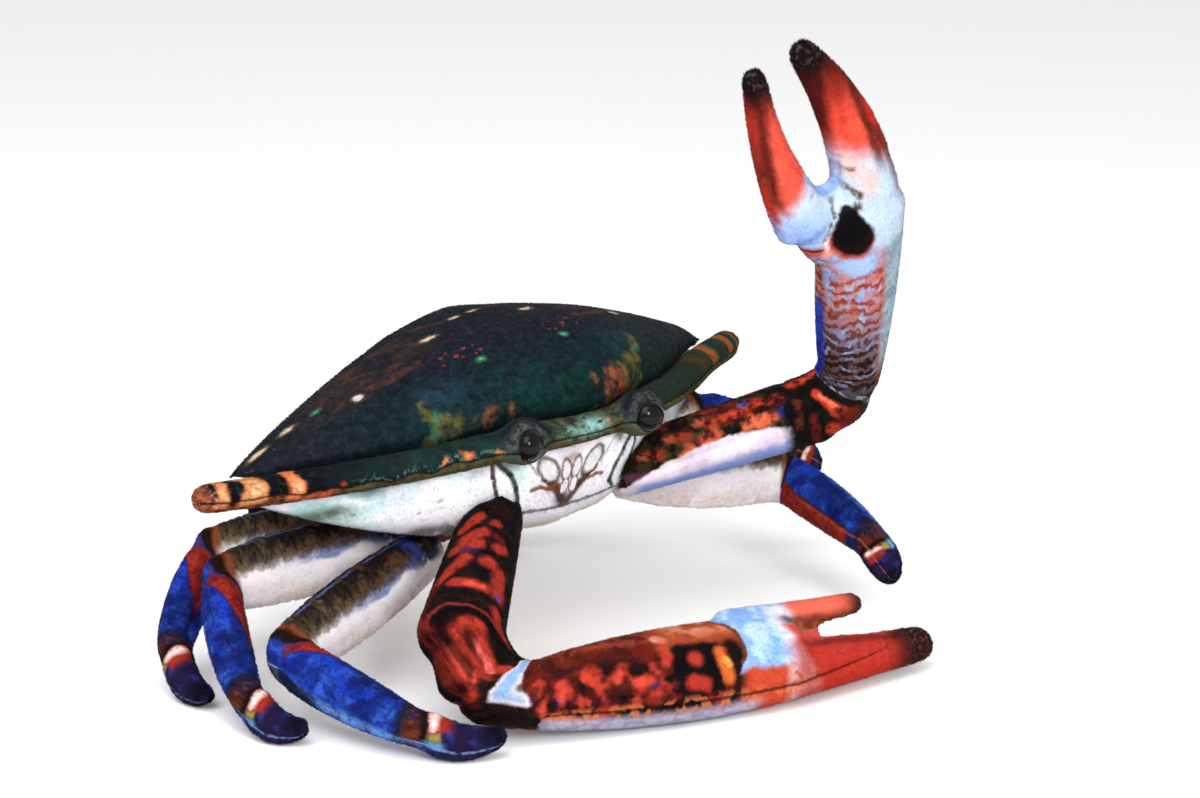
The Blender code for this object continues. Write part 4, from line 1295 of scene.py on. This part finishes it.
    # the fingers: split by a plane between them
    slope, split = FINGER_PLANE["claw_right"]
    rise = p.less(p.less(z, p.times(x, slope)), split)
    moving = p.above(rise, 0.0, 0.8)
    fixed = p.less(1.0, moving)
    p.lay((232, 226, 232), 0.8, p.band(x, 214, 232, 3), p.above(mottle, 0.40, 0.1))
    p.lay((232, 112, 84), 0.95, moving, p.above(bias(p, x, z, 0.35), 232, 4))
    p.lay((208, 82, 62), 0.95, fixed, p.above(bias(p, x, z, 0.55), 222, 3))
    p.lay((178, 54, 42), 0.8, fixed, p.above(x, 216, 4), p.below(rise, -8, 2))
    p.lay((92, 34, 26), 0.6, fixed, p.above(x, 226, 8), p.band(rise, -11, -7, 1.5))
    p.lay((96, 44, 28), 0.8, moving, p.above(x, 218, 4), p.below(rise, 5, 2))
    p.lay((190, 120, 70), 0.6, moving, p.above(x, 218, 4), p.below(rise, 3, 1),
          p.above(mottle, 0.5, 0.08))
    p.lay((44, 26, 22), 0.95, moving, p.above(x, FINGER_DARK["claw_right"][0], 7))
    p.lay((40, 24, 20), 0.95, fixed, p.above(x, FINGER_DARK["claw_right"][1], 9))
    worn_tips(p, "claw_right", x, moving, fixed)
    # the underside is lilac, and pale beads sit along the seam
    seam_line = p.facing(-62, 9, 0.02)
    beneath = p.both(on_palm, p.below(x, 200, 4), p.facing(-112, 40, 0.1))
    p.lay((196, 192, 212), 0.9, beneath)
    p.lay((110, 104, 130), 0.5, beneath, p.above(mottle, 0.54, 0.12))
    p.lay((214, 130, 84), 0.85, on_palm, p.below(x, 222, 4), seam_line,
          p.above(p.noise(4, 1.0, shift=8.0), 0.48, 0.06))
    p.lay((24, 20, 20), 0.7, on_palm, p.facing(-62, 2.5, 0.001))
    return p.velour(grain=0.2)


def bias(p, x, z, slope):
    """A place along the limb that shifts with height, for a slanted edge."""
    return p.add(x, p.times(z, slope))


# %% [markdown]
# ## The print on the raised claw
#
# The arm is dark above with orange and red marks and white below, the elbow is red and black,
# and the palm is covered by a net of brown and orange lines over light blue, with a grey-blue
# margin. A black patch edged in red lies under the hinge. The fingers go from light blue and
# peach to red, with maroon along their inner edges and black tips.

# %% Raised claw print
NET_STEP = 6.4             # millimetres from one line of the palm's net to the next


def high_claw_print():
    p = Print("claw_velour_left", (36, 24, 20))
    wave = p.warped(2.0, 6, 1.0)
    x, _, z = p.split(wave)
    mottle = p.noise(6, 3.0, shift=3.0, rough=0.65)
    blob = p.noise(8.5, 2.0, shift=5.0)
    red, orange, dark = (196, 74, 54), (222, 118, 82), (110, 38, 30)
    black = (18, 15, 18)
    p.lay((82, 80, 46), 0.6, p.above(mottle, 0.52, 0.1))
    hidden = p.facing(20, 80, 0.25)
    p.lay(dark, 0.85, hidden, p.above(blob, 0.48, 0.06))
    p.lay(red, 0.85, hidden, p.above(blob, 0.56, 0.06))
    # the arm
    arm, round_arm = p.laid_flat(12, 160, rag=1.3, shift=2.0), 12
    for along, turn, wide in ((14, 142, 2.0), (19, 148, 2.4), (26, 126, 1.8), (32, 134, 2.6),
                              (33, 158, 1.6), (41, 116, 2.0)):
        strokes(p, arm, round_arm,
                (((along, turn), (along + wide, turn + 5), wide, orange if wide < 2.2 else red, 0.8),),
                0.8)
    strokes(p, arm, round_arm,
            (((41, 160), (46, 156), 3.0, (218, 104, 76), 0.95),
             ((30, 174), (34, 170), 2.0, orange, 0.85), ((46, 130), (54, 124), 3.0, red, 0.8),
             ((54, 132), (68, 118), 2.6, red, 0.9), ((62, 146), (78, 128), 3.2, red, 0.9),
             ((60, 160), (70, 150), 2.6, orange, 0.85), ((50, 108), (62, 100), 2.8, dark, 0.9),
             ((66, 168), (73, 160), 2.4, orange, 0.85),
             ((62, 112), (63, 110), 2.0, (96, 96, 170), 0.8),
             ((76, 160), (77, 156), 2.0, (70, 66, 150), 0.85),
             ((52, 155), (52, 156), 1.7, black, 0.95), ((55, 163), (55, 164), 1.9, black, 0.95),
             ((66, 138), (70, 140), 1.7, black, 0.85), ((72, 148), (74, 146), 2.2, black, 0.8)))
    edge = p.add(z, p.times(p.math('POWER', p.over(p.less(x, 44.0), 30.0), 2.0), 3.6))
    below_arm = p.both(p.below(edge, 2.4, 0.9), p.below(x, 78, 1.6))
    p.lay((236, 226, 234), 0.98, below_arm)
    p.lay((212, 196, 214), 0.7, below_arm, p.above(p.noise(12, 2.0, shift=8.0), 0.5, 0.12))
    p.lay((108, 142, 206), 0.8, below_arm, p.facing(240, 24, 0.08, at=wave), p.above(x, 8, 4))
    p.lay((140, 60, 120), 0.7, p.spot((7, -9, -0.5), (6, 9, 1.4), 0.7, at=wave))
    # dark grit breaks the marks up
    grit = p.noise(4.6, 3.0, shift=51.0, rough=0.6)
    on_arm = p.both(p.below(x, 82, 4), p.above(edge, 3.6, 1.2))
    p.lay((26, 19, 19), 0.9, on_arm, p.below(grit, 0.48, 0.12))
    p.lay((74, 66, 40), 0.6, on_arm, p.below(x, 46, 12), p.above(grit, 0.55, 0.06))
    # the elbow
    elbow, round_elbow = p.laid_flat(14, 160, rag=1.5, shift=4.0), 14
    p.lay(black, 0.85, p.band(x, 76, 106, 3), p.above(mottle, 0.36, 0.12))
    strokes(p, elbow, round_elbow, (
        ((82, 196), (84, 150), 1.8, (110, 52, 36), 0.7), ((98, 216), (104, 236), 2.6, red, 0.8),
        ((95, 146), (103, 194), 2.6, red, 0.95), ((97, 152), (102, 182), 1.3, (232, 130, 96), 0.8),
        ((104, 202), (106, 226), 2.8, dark, 0.9), ((86, 100), (98, 88), 3.4, red, 0.9),
        ((92, 96), (104, 82), 1.8, (214, 96, 70), 0.7), ((90, 190), (90, 230), 2.4, dark, 0.8)))
    p.lay(black, 0.8, p.band(x, 78, 106, 3), p.below(grit, 0.45, 0.08))
    # the palm's net
    start = bias(p, x, z, 0.30)
    on_palm = p.above(start, 109, 0.9)
    torn = p.warped(1.3, 4.0, 7.0)
    upward = p.above(x, 152, 26)
    downward = p.less(1.0, upward)
    netted = p.both(on_palm, p.below(x, 197, 8), p.facing(150, 74, 0.1, at=wave))
    patchy = p.noise(9, 3.0, (1.3, 0.8, 0.8), 23.0, rough=0.6)
    p.lay((166, 188, 220), 1.0, on_palm)
    p.lay((128, 158, 214), 0.6, on_palm, p.above(p.noise(7, 2.0, shift=9.0), 0.5, 0.1))
    p.lay((204, 116, 84), 0.85, netted, upward, p.above(patchy, 0.46, 0.12))
    p.lay((100, 62, 44), 0.92, netted, downward, p.above(patchy, 0.41, 0.12))
    # the lines run across the palm a few millimetres apart, waver, fork and break up
    wander = p.noise(11, 3.0, (1.2, 0.8, 0.8), 3.0, rough=0.6)
    turns = p.times(p.add(p.x, p.times(p.z, 0.30)), 1 / NET_STEP)
    turns = p.add(turns, p.times(wander, 3.6))
    turns = p.add(turns, p.times(p.noise(2.6, 2.0, shift=29.0), 0.3))
    wave_line = p.math('SINE', p.times(turns, 2 * math.pi))
    broken = p.above(p.noise(5.5, 3.0, (1.4, 0.8, 0.8), 21.0, rough=0.6), 0.42, 0.10)
    lines = p.both(p.above(wave_line, 0.0, 0.6), broken)
    p.lay((186, 88, 54), 0.9, netted, lines, upward)
    p.lay((96, 50, 38), 0.55, netted, p.above(wave_line, 0.72, 0.22), broken, upward)
    p.lay((104, 58, 40), 0.85, netted, p.above(wave_line, -0.4, 0.6), broken, downward)
    p.lay((36, 25, 24), 0.95, netted, p.above(wave_line, 0.0, 0.5), broken, downward)
    p.lay((50, 37, 33), 0.85, on_palm, p.below(start, 118, 6), p.above(mottle, 0.40, 0.14))
    p.lay((190, 182, 186), 0.5, p.band(start, 108.6, 110.2, 0.5),
          p.above(p.noise(1.8, 1.0), 0.54, 0.06))
    # its margins: a bright blue strip on the inner edge, orange then grey-blue on the outer one
    p.lay((50, 78, 192), 0.95, on_palm, p.below(x, 166, 4), p.facing(78, 22, 0.08, at=torn))
    p.lay((30, 40, 130), 0.7, on_palm, p.below(x, 142, 6), p.facing(78, 22, 0.08, at=torn),
          p.above(mottle, 0.46, 0.12))
    p.lay((190, 92, 64), 0.8, p.band(x, 118, 204, 8), p.facing(206, 9, 0.03, at=torn),
          p.above(mottle, 0.36, 0.14))
    margin = p.both(p.band(x, 130, 244, 14), p.facing(262, 62, 0.14, at=wave))
    p.lay((168, 188, 200), 0.95, margin)
    p.lay((110, 128, 152), 0.5, margin, p.above(mottle, 0.52, 0.1))
    # round the hinge: light blue, a red crease and a black patch with a peak
    p.lay((198, 214, 230), 0.95, p.above(x, 200, 4), p.facing(178, 84, 0.12, at=wave))
    p.lay((142, 172, 230), 0.85, p.spot((212, -8, 31), (11, 30, 10), 0.8, at=wave))
    p.lay((170, 200, 240), 0.9, p.spot((192.5, -14, 8), (5.5, 20, 9), 0.6, at=wave))
    for middle, size in (((238, -5, 8), 4.2), ((231, -7, 2), 4.8), ((244, -5, 12), 3.4),
                         ((234, -5, 16), 3.0)):
        p.lay((240, 190, 172), 0.7, p.spot(middle, (size * 1.3, 20, size * 0.8), 0.95, at=torn))
    p.lay((206, 90, 66), 0.9, p.spot((200, -8, 25), (3.4, 14, 8), 0.6, at=torn))
    p.lay(black, 0.8, p.spot((201.5, -8, 24), (0.9, 14, 5.5), 0.5, at=torn))
    p.lay((234, 176, 160), 0.95, p.spot((202, -11, 18.5), (5.4, 20, 2.4), 0.5, at=torn))
    p.lay((246, 238, 236), 0.9, p.spot((204, -11, 19), (3.2, 20, 1.3), 0.5, at=torn))
    # frayed brown creases run from the fork down to the patch
    crease = p.vector('MULTIPLY', p.warped(1.5, 3.0, 44.0), (1, 0, 1))
    frayed = p.above(p.noise(2.4, 3.0, shift=45.0, rough=0.65), 0.42, 0.16)
    for start_at, end_at, width, share in (
            ((238, 16), (237, 8), 1.2, 0.8), ((231, 27), (230.5, 19), 0.9, 0.8),
            ((230.5, 19), (224, 16.5), 1.6, 0.85), ((224, 16.5), (217, 16.5), 1.1, 0.8),
            ((229, 11), (225.5, 6), 1.5, 0.85), ((225.5, 6), (220, 7), 1.2, 0.8),
            ((220, 7), (217, 9), 1.7, 0.9), ((214, 18), (207, 20.5), 1.0, 0.8)):
        mark = p.stroke((start_at[0], 0, start_at[1]), (end_at[0], 0, end_at[1]), width, 0.7, at=crease)
        p.lay((92, 64, 40), share, mark, frayed, p.facing(180, 80, 0.2))
    patch = ((206.5, 9.4, 8.6, 8.4), (210.5, 10.2, 7.6, 6.8), (214.5, 10.8, 6.0, 4.2))
    p.lay((194, 72, 50), 0.85, p.spot((205.0, -13, 10.0), (9.0, 30, 9.0), 0.14, at=torn))
    for along, up, rx, rz in patch:
        p.lay(black, 0.98, p.spot((along, -13, up), (rx, 30, rz), 0.16, at=torn))
    # the fingers: how far each point lies from the plane between them, on either side
    slope, split = FINGER_PLANE["claw_left"]
    rise = p.less(p.less(z, p.times(x, slope)), split)
    moving = p.above(rise, 0.0, 0.8)
    fixed = p.less(1.0, moving)
    flush = p.noise(10, 3.0, (2.0, 0.7, 0.7), 61.0)
    leaning = p.less(rise, p.times(p.below(x, 256, 16), 6.0))
    p.lay((224, 94, 70), 0.97, moving, p.above(bias(p, x, z, 1.0), 265, 5))
    p.lay((196, 62, 46), 0.9, moving, p.above(bias(p, x, z, 1.0), 258, 5),
          p.above(leaning, 17.5, 1.6))
    p.lay((88, 28, 26), 0.9, moving, p.above(x, 228, 8), p.band(leaning, 13.4, 18.0, 2.2))
    p.lay((222, 88, 64), 0.97, fixed, p.above(bias(p, x, z, -0.2), 243, 6))
    p.lay((196, 58, 44), 0.6, fixed, p.above(x, 246, 6), p.above(flush, 0.5, 0.14))
    p.lay((190, 56, 44), 0.9, fixed, p.above(x, 238, 8), p.below(rise, -26.0, 1.5))
    p.lay((98, 40, 34), 0.85, fixed, p.above(x, 236, 7), p.band(rise, -27.0, -23.0, 1.6))
    inner = p.less(rise, p.times(p.above(x, 258, 22), -5.0))
    p.lay((80, 26, 26), 0.92, fixed, p.above(x, 246, 6), p.above(inner, -8.0, 2.2))
    p.lay((96, 50, 40), 0.7, fixed, p.above(x, 218, 10), p.facing(266, 24, 0.08))
    p.lay((92, 30, 28), 0.6, p.above(x, FINGER_DARK["claw_left"][0] - 6, 8))
    p.lay((24, 18, 19), 0.97, moving, p.above(x, FINGER_DARK["claw_left"][0], 6))
    p.lay((24, 18, 19), 0.97, fixed, p.above(x, FINGER_DARK["claw_left"][1], 7))
    worn_tips(p, "claw_left", x, moving, fixed)
    return p.velour(grain=0.2)


# %% [markdown]
# ## Dressing the limbs
#
# One printed cloth serves every limb of its kind: the right legs, the left legs, the swimming
# legs, and one for each claw. The left legs need a cloth of their own because their seams and
# marks turn the other way. Each skin is matched to its cloth by the start of its name.

# %% Print the limbs
LIMB_PRINTS = {"leg_right": leg_print("right"), "leg_left": leg_print("left"), "swim": swim_print(),
               "claw_right": low_claw_print(), "claw_left": high_claw_print()}


def print_limbs():
    for name, made in SKINS.items():
        for start, material in LIMB_PRINTS.items():
            if name.startswith(start):
                give(made, material)


print_limbs()
for start, material in LIMB_PRINTS.items():
    print(start, len(material.node_tree.nodes), "nodes")

# %% [markdown]
# ## The eyes
#
# Each eye is a black plastic dome, moulded with a thin flat flange and pushed through the cloth
# of its seat. A half sphere would stand too proud, so the dome is a profile turned about its own
# axis: a low crown that rolls over into the flange. Each looks a little to one side.

# %% Eyes
EYE_SEGMENTS = 64
DOME_RISE = 0.70           # the dome's height as a share of the eye's radius
FLANGE = 0.93              # where the dome meets its flange, as a share of the radius
EYE_LOOKS = {"right": 20, "left": -5}      # degrees toward the crab's left


def make_eye(side):
    low, high = (Vector(corner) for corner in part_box(f"eye_{side}"))
    looks = math.radians(EYE_LOOKS[side])
    facing = Vector((math.sin(looks), -math.cos(looks), 0.06)).normalized()
    radius = (high.z - low.z) / 2
    middle = (low + high) / 2
    back = middle - facing * 1.5 * MM
    crown = [(math.sin(t) * FLANGE, math.cos(t) * DOME_RISE) for t in np.linspace(0, math.pi / 2, 15)]
    profile = crown + [(FLANGE, -0.02), (1.0, -0.03), (1.0, -0.16), (0.0, -0.16)]
    shape = bmesh.new()
    line = [shape.verts.new((x * radius, 0, z * radius)) for x, z in profile]
    edges = [shape.edges.new(pair) for pair in zip(line, line[1:])]
    bmesh.ops.spin(shape, geom=line + edges, cent=(0, 0, 0), axis=(0, 0, 1), angle=2 * math.pi,
                   steps=EYE_SEGMENTS, use_merge=True)
    bmesh.ops.remove_doubles(shape, verts=shape.verts, dist=0.01 * MM)
    bmesh.ops.recalc_face_normals(shape, faces=shape.faces)
    turn = facing.to_track_quat('Z', 'Y').to_matrix().to_4x4()
    bmesh.ops.transform(shape, verts=shape.verts, matrix=Matrix.Translation(back) @ turn)
    mesh = bpy.data.meshes.new(f"eye_dome_{side}")
    shape.to_mesh(mesh)
    shape.free()
    mesh.shade_smooth()
    mesh.set_sharp_from_angle(angle=math.radians(50))
    made = bpy.data.objects.new(mesh.name, mesh)
    SCENE.collection.objects.link(made)
    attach(made, "root")
    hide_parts(f"eye_{side}")
    print(made.name, "radius, mm:", round(radius / MM, 2))
    return made


def eye_gloss():
    """Black plastic: polished, with faint handling haze and dust that roughen it a little."""
    made = bpy.data.materials.new("black_gloss")
    made.use_nodes = True
    nodes, links = made.node_tree.nodes, made.node_tree.links
    shader = nodes["Principled BSDF"]
    place = nodes.new("ShaderNodeTexCoord")
    haze = nodes.new("ShaderNodeTexNoise")
    haze.inputs["Scale"].default_value = 320
    haze.inputs["Detail"].default_value = 4
    links.new(place.outputs["Object"], haze.inputs["Vector"])
    rough = nodes.new("ShaderNodeMapRange")
    rough.inputs["To Min"].default_value = 0.03
    rough.inputs["To Max"].default_value = 0.10
    links.new(haze.outputs["Fac"], rough.inputs["Value"])
    links.new(rough.outputs["Result"], shader.inputs["Roughness"])
    tone = nodes.new("ShaderNodeValToRGB")
    tone.color_ramp.elements[0].color = (0.0022, 0.0022, 0.0026, 1)
    tone.color_ramp.elements[1].color = (0.0060, 0.0058, 0.0070, 1)
    links.new(haze.outputs["Fac"], tone.inputs["Fac"])
    links.new(tone.outputs["Color"], shader.inputs["Base Color"])
    shader.inputs["Specular IOR Level"].default_value = 0.14
    return made


gloss = eye_gloss()
for side in ("left", "right"):
    give(make_eye(side), gloss)

# %% [markdown]
# ## The pile
#
# Velour has a short pile. Where it lies flat, the bump and grain in the material are enough, but
# it breaks the outline everywhere and is thicker on the white plush and at the black finger
# tips. Hair curves would be lost in an export, so each tuft is a thin closed sliver with four
# faces, and all the tufts of one cloth are joined in one mesh built from arrays. Every tuft
# carries the printed place of its root, so it takes the colour of the cloth below it, and a
# small patch of its own on an unwrap of that cloth.

# %% Grow the pile
COATS = {                  # name -> the skins it grows on, how many tufts, and their length
    "coat_shell": (("shell",), 48000, 1.15),
    "coat_belly": (("belly",), 48000, 1.45),
    "coat_roll": (("rim",), 34000, 1.0),
    "coat_claw_right": (("claw_right",), 49000, 1.05),
    "coat_claw_left": (("claw_left",), 49000, 1.05),
    "coat_legs_right": (("leg_right_1", "leg_right_2", "leg_right_3"), 46000, 1.0),
    "coat_legs_left": (("leg_left_1", "leg_left_2", "leg_left_3"), 34000, 1.0),
    "coat_swim": (("swim_right", "swim_left"), 12000, 1.0),
}
TUFT_WIDTH = 0.36          # millimetres across at the root
TUFT_SUNK = 0.15           # how far the root starts below the surface
LIFT = (0.30, 0.75)        # how steeply tufts stand: the least and the most
STRAY = 0.45               # how far tufts wander from the nap
PATCH = 0.003              # a tuft's patch on the unwrap, as a share of its side
TUFT_FACES = np.array(((0, 1, 2), (1, 0, 3), (1, 3, 2), (0, 2, 3)))
FACE_CORNERS = 3
UNWRAP_NAME = "OFBake"
TUFT_CLEAR = 0.06          # the least height of a tuft above the floor, in millimetres
HIDDEN_BELOW = {"shell_top": -0.35}      # no tufts where it faces down, against the belly
SLOTS = {"shell": "shell_print", "belly": "white_plush", "rim": "rim_print", "claw": "claw_print",
         "leg": "leg_print", "swim": "leg_print"}


def attribute_rows(mesh, name):
    flat = np.empty(len(mesh.vertices) * 3)
    mesh.attributes[name].data.foreach_get("vector", flat)
    return flat.reshape(-1, 3)


def scatter(mesh, count, rng):
    """Even random places on a mesh: position, normal, printed place and nap at each."""
    mesh.calc_loop_triangles()
    corners = np.empty(len(mesh.loop_triangles) * 3, dtype=np.int64)
    mesh.loop_triangles.foreach_get("vertices", corners)
    corners = corners.reshape(-1, 3)
    points, normals = mesh_points(mesh), mesh_normals(mesh)
    place, nap = attribute_rows(mesh, PLACE), attribute_rows(mesh, NAP)
    a, b, c = (points[corners[:, i]] for i in range(3))
    area = np.linalg.norm(np.cross(b - a, c - a), axis=1)
    area *= normals[corners].mean(axis=1)[:, 2] > HIDDEN_BELOW.get(mesh.name, -2)
    pick = rng.choice(len(corners), size=count, p=area / area.sum())
    share = rng.random((count, 2))
    flip = share.sum(axis=1) > 1
    share[flip] = 1 - share[flip]
    weights = np.column_stack([1 - share.sum(axis=1), share])[:, :, None]
    return [(rows[corners[pick]] * weights).sum(axis=1) for rows in (points, normals, place, nap)]


def unit(rows):
    return rows / np.maximum(np.linalg.norm(rows, axis=1), 1e-9)[:, None]


def unwrap(name, place, number, total):
    """Where each root lies on an unwrap of its skin, from 0 to 1 both ways.

    The shell is laid out from above, the belly as a disc round its lowest point, and the roll
    and the limbs as tubes slit along their length. Skins that share a coat are stacked.
    """
    x, y, z = place.T
    if name == "shell":
        across, up = (x + 130) / 260, (y + 65) / 130
    elif name == "belly":
        turn = np.arctan2(y / 60, x / 125)
        reach = 0.12 + 0.88 * np.clip((z - 55) / 54, 0, 1)
        across, up = 0.5 + 0.5 * reach * np.cos(turn), 0.5 + 0.5 * reach * np.sin(turn)
    elif name == "rim":
        across, up = (x + 150) / 300, np.arctan2(z, y) / (2 * math.pi) + 0.5
    else:
        across, up = x / 300, np.arctan2(z, y) / (2 * math.pi) + 0.5
    return np.column_stack([np.clip(across, 0.01, 0.99), (np.clip(up, 0.01, 0.99) + number) / total])


def tuft_length(name, place, base):
    """The length of each tuft: longer at the dark finger tips and shorter near the eyes."""
    made = np.full(len(place), base)
    if name.startswith("claw"):
        made *= 1 + 0.5 * np.clip((place[:, 0] - 262) / 16, 0, 1)
    if name == "rim":
        near = np.min([np.abs(place[:, 0] - seat) for seat in EYE_SEATS], axis=0)
        made *= np.where(near < 11, 0.75, 1.0)
    return made


def grow(coat, skins, count, length, rng):
    areas = [sum(face.area for face in SKINS[name].data.polygons) for name in skins]
    rows = []
    for number, name in enumerate(skins):
        root, normal, place, nap = scatter(SKINS[name].data, int(count * areas[number] / sum(areas)), rng)
        normal = unit(normal)
        lay = nap + STRAY * rng.normal(size=nap.shape)
        lay = unit(lay - normal * (lay * normal).sum(axis=1)[:, None])
        lift = rng.uniform(*LIFT, len(root))[:, None]
        aim = unit(lay + normal * lift)
        side = unit(np.cross(lay, normal))
        wide = TUFT_WIDTH * MM * rng.uniform(0.7, 1.3, len(root))[:, None]
        tall = (tuft_length(name, place, length) * MM * rng.uniform(0.6, 1.2, len(root)))[:, None]
        sunk = root - normal * TUFT_SUNK * MM
        body = np.stack([sunk - side * wide / 2, sunk + side * wide / 2, sunk + normal * wide * 0.7,
                         root + aim * tall], axis=1)
        body[:, :, 2] = np.maximum(body[:, :, 2], TUFT_CLEAR * MM)
        shade = np.stack([unit(normal - 0.3 * side), unit(normal + 0.3 * side), normal,
                          unit(normal + 0.3 * lay)], axis=1)
        rows.append((body, shade, place, unwrap(name, place, number, len(skins))))
    body, shade, place, flat = (np.concatenate([row[i] for row in rows]) for i in range(4))
    return sliver_mesh(coat, body, shade, place, flat)


def sliver_mesh(name, body, shade, place, flat):
    total = len(body)
    mesh = bpy.data.meshes.new(name)
    mesh.vertices.add(total * 4)
    mesh.vertices.foreach_set("co", body.astype(np.float32).ravel())
    faces = (np.arange(total)[:, None, None] * 4 + TUFT_FACES).reshape(-1, FACE_CORNERS)
    mesh.loops.add(faces.size)
    mesh.loops.foreach_set("vertex_index", faces.ravel().astype(np.int32))
    mesh.polygons.add(len(faces))
    mesh.polygons.foreach_set("loop_start", np.arange(0, faces.size, FACE_CORNERS, dtype=np.int32))
    mesh.update(calc_edges=True)
    store(mesh, PLACE, np.repeat(place, 4, axis=0))
    corner = np.array(((-1, -1), (1, -1), (0, 0), (0, 1))) * PATCH / 2
    spread = (flat[:, None, :] + corner[None]).reshape(-1, 2)
    layer = mesh.uv_layers.new(name=UNWRAP_NAME)
    layer.data.foreach_set("uv", spread[faces.ravel()].astype(np.float32).ravel())
    mesh.shade_smooth()
    mesh.normals_split_custom_set_from_vertices(shade.reshape(-1, 3).astype(np.float32))
    return mesh


def grow_all():
    for number, (coat, (skins, count, length)) in enumerate(COATS.items()):
        mesh = grow(coat, skins, count, length, np.random.default_rng(100 + number))
        made = bpy.data.objects.new(coat, mesh)
        SCENE.collection.objects.link(made)
        skin = SKINS[skins[0]]
        give(made, skin.data.materials[0])
        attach(made, "root")
        SLOTS[skins[0].split("_")[0]]
        print(coat, len(mesh.polygons), "triangles")


grow_all()

# %% [markdown]
# ## Floor and light
#
# A product shot on white: a pale floor, an even white surround and one large soft light from
# the upper left. A smaller, weaker light in front gives the plastic eyes their catch light, as
# a reflector would. Both are area lights, because a small hard light would cast sharp shadows.

# %% Set the stage
def make_floor():
    shape = bmesh.new()
    bmesh.ops.create_grid(shape, x_segments=1, y_segments=1, size=6.0)
    mesh = bpy.data.meshes.new("floor")
    shape.to_mesh(mesh)
    shape.free()
    made = bpy.data.objects.new("floor", mesh)
    SCENE.collection.objects.link(made)
    pale = bpy.data.materials.new("pale_floor")
    pale.use_nodes = True
    pale.node_tree.nodes["Principled BSDF"].inputs["Base Color"].default_value = (0.93, 0.93, 0.93, 1)
    pale.node_tree.nodes["Principled BSDF"].inputs["Roughness"].default_value = 0.9
    made.data.materials.append(pale)


def make_light(name, place, aim, size, power):
    data = bpy.data.lights.new(name, 'AREA')
    data.shape, data.size, data.size_y, data.energy = 'RECTANGLE', size, size, power
    made = bpy.data.objects.new(name, data)
    made.location = place
    made.rotation_euler = (Vector(aim) - Vector(place)).to_track_quat('-Z', 'Y').to_euler()
    SCENE.collection.objects.link(made)


make_floor()
SURROUND = 0.8
world = bpy.data.worlds.new("white_surround")
world.use_nodes = True
world.node_tree.nodes["Background"].inputs["Color"].default_value = (1, 1, 1, 1)
world.node_tree.nodes["Background"].inputs["Strength"].default_value = SURROUND
SCENE.world = world
make_light("key_light", (-0.9, -0.5, 1.3), (0, 0, 0.08), 1.3, 24)
make_light("front_light", (-0.55, -1.45, 0.75), (0, 0, 0.08), 0.42, 16)
SCENE.view_settings.view_transform = 'Standard'

# %% [markdown]
# ## The camera
#
# The camera stands low in front of the crab's right side. A long lens from far off keeps the
# perspective gentle. Its aim is given as an offset from the middle of the frame's box, so the
# framing follows the toy if its size changes.

# %% Set the camera
CAMERA_TURN, CAMERA_RISE = math.radians(41.5), math.radians(15.3)
CAMERA_AWAY, LENS = 1.5, 101.25
box_middle = (Vector(CAD_BOX[0]) + Vector(CAD_BOX[1])) / 2
aim = box_middle + Vector((81.4, 54.4, -53.8)) * MM
outward = Vector((-math.sin(CAMERA_TURN) * math.cos(CAMERA_RISE),
                  -math.cos(CAMERA_TURN) * math.cos(CAMERA_RISE), math.sin(CAMERA_RISE)))
lens = bpy.data.cameras.new("camera")
lens.lens, lens.sensor_width = LENS, 36
camera = bpy.data.objects.new("camera", lens)
camera.location = aim + outward * CAMERA_AWAY
camera.rotation_euler = (-outward).to_track_quat('-Z', 'Y').to_euler()
SCENE.collection.objects.link(camera)
SCENE.camera = camera
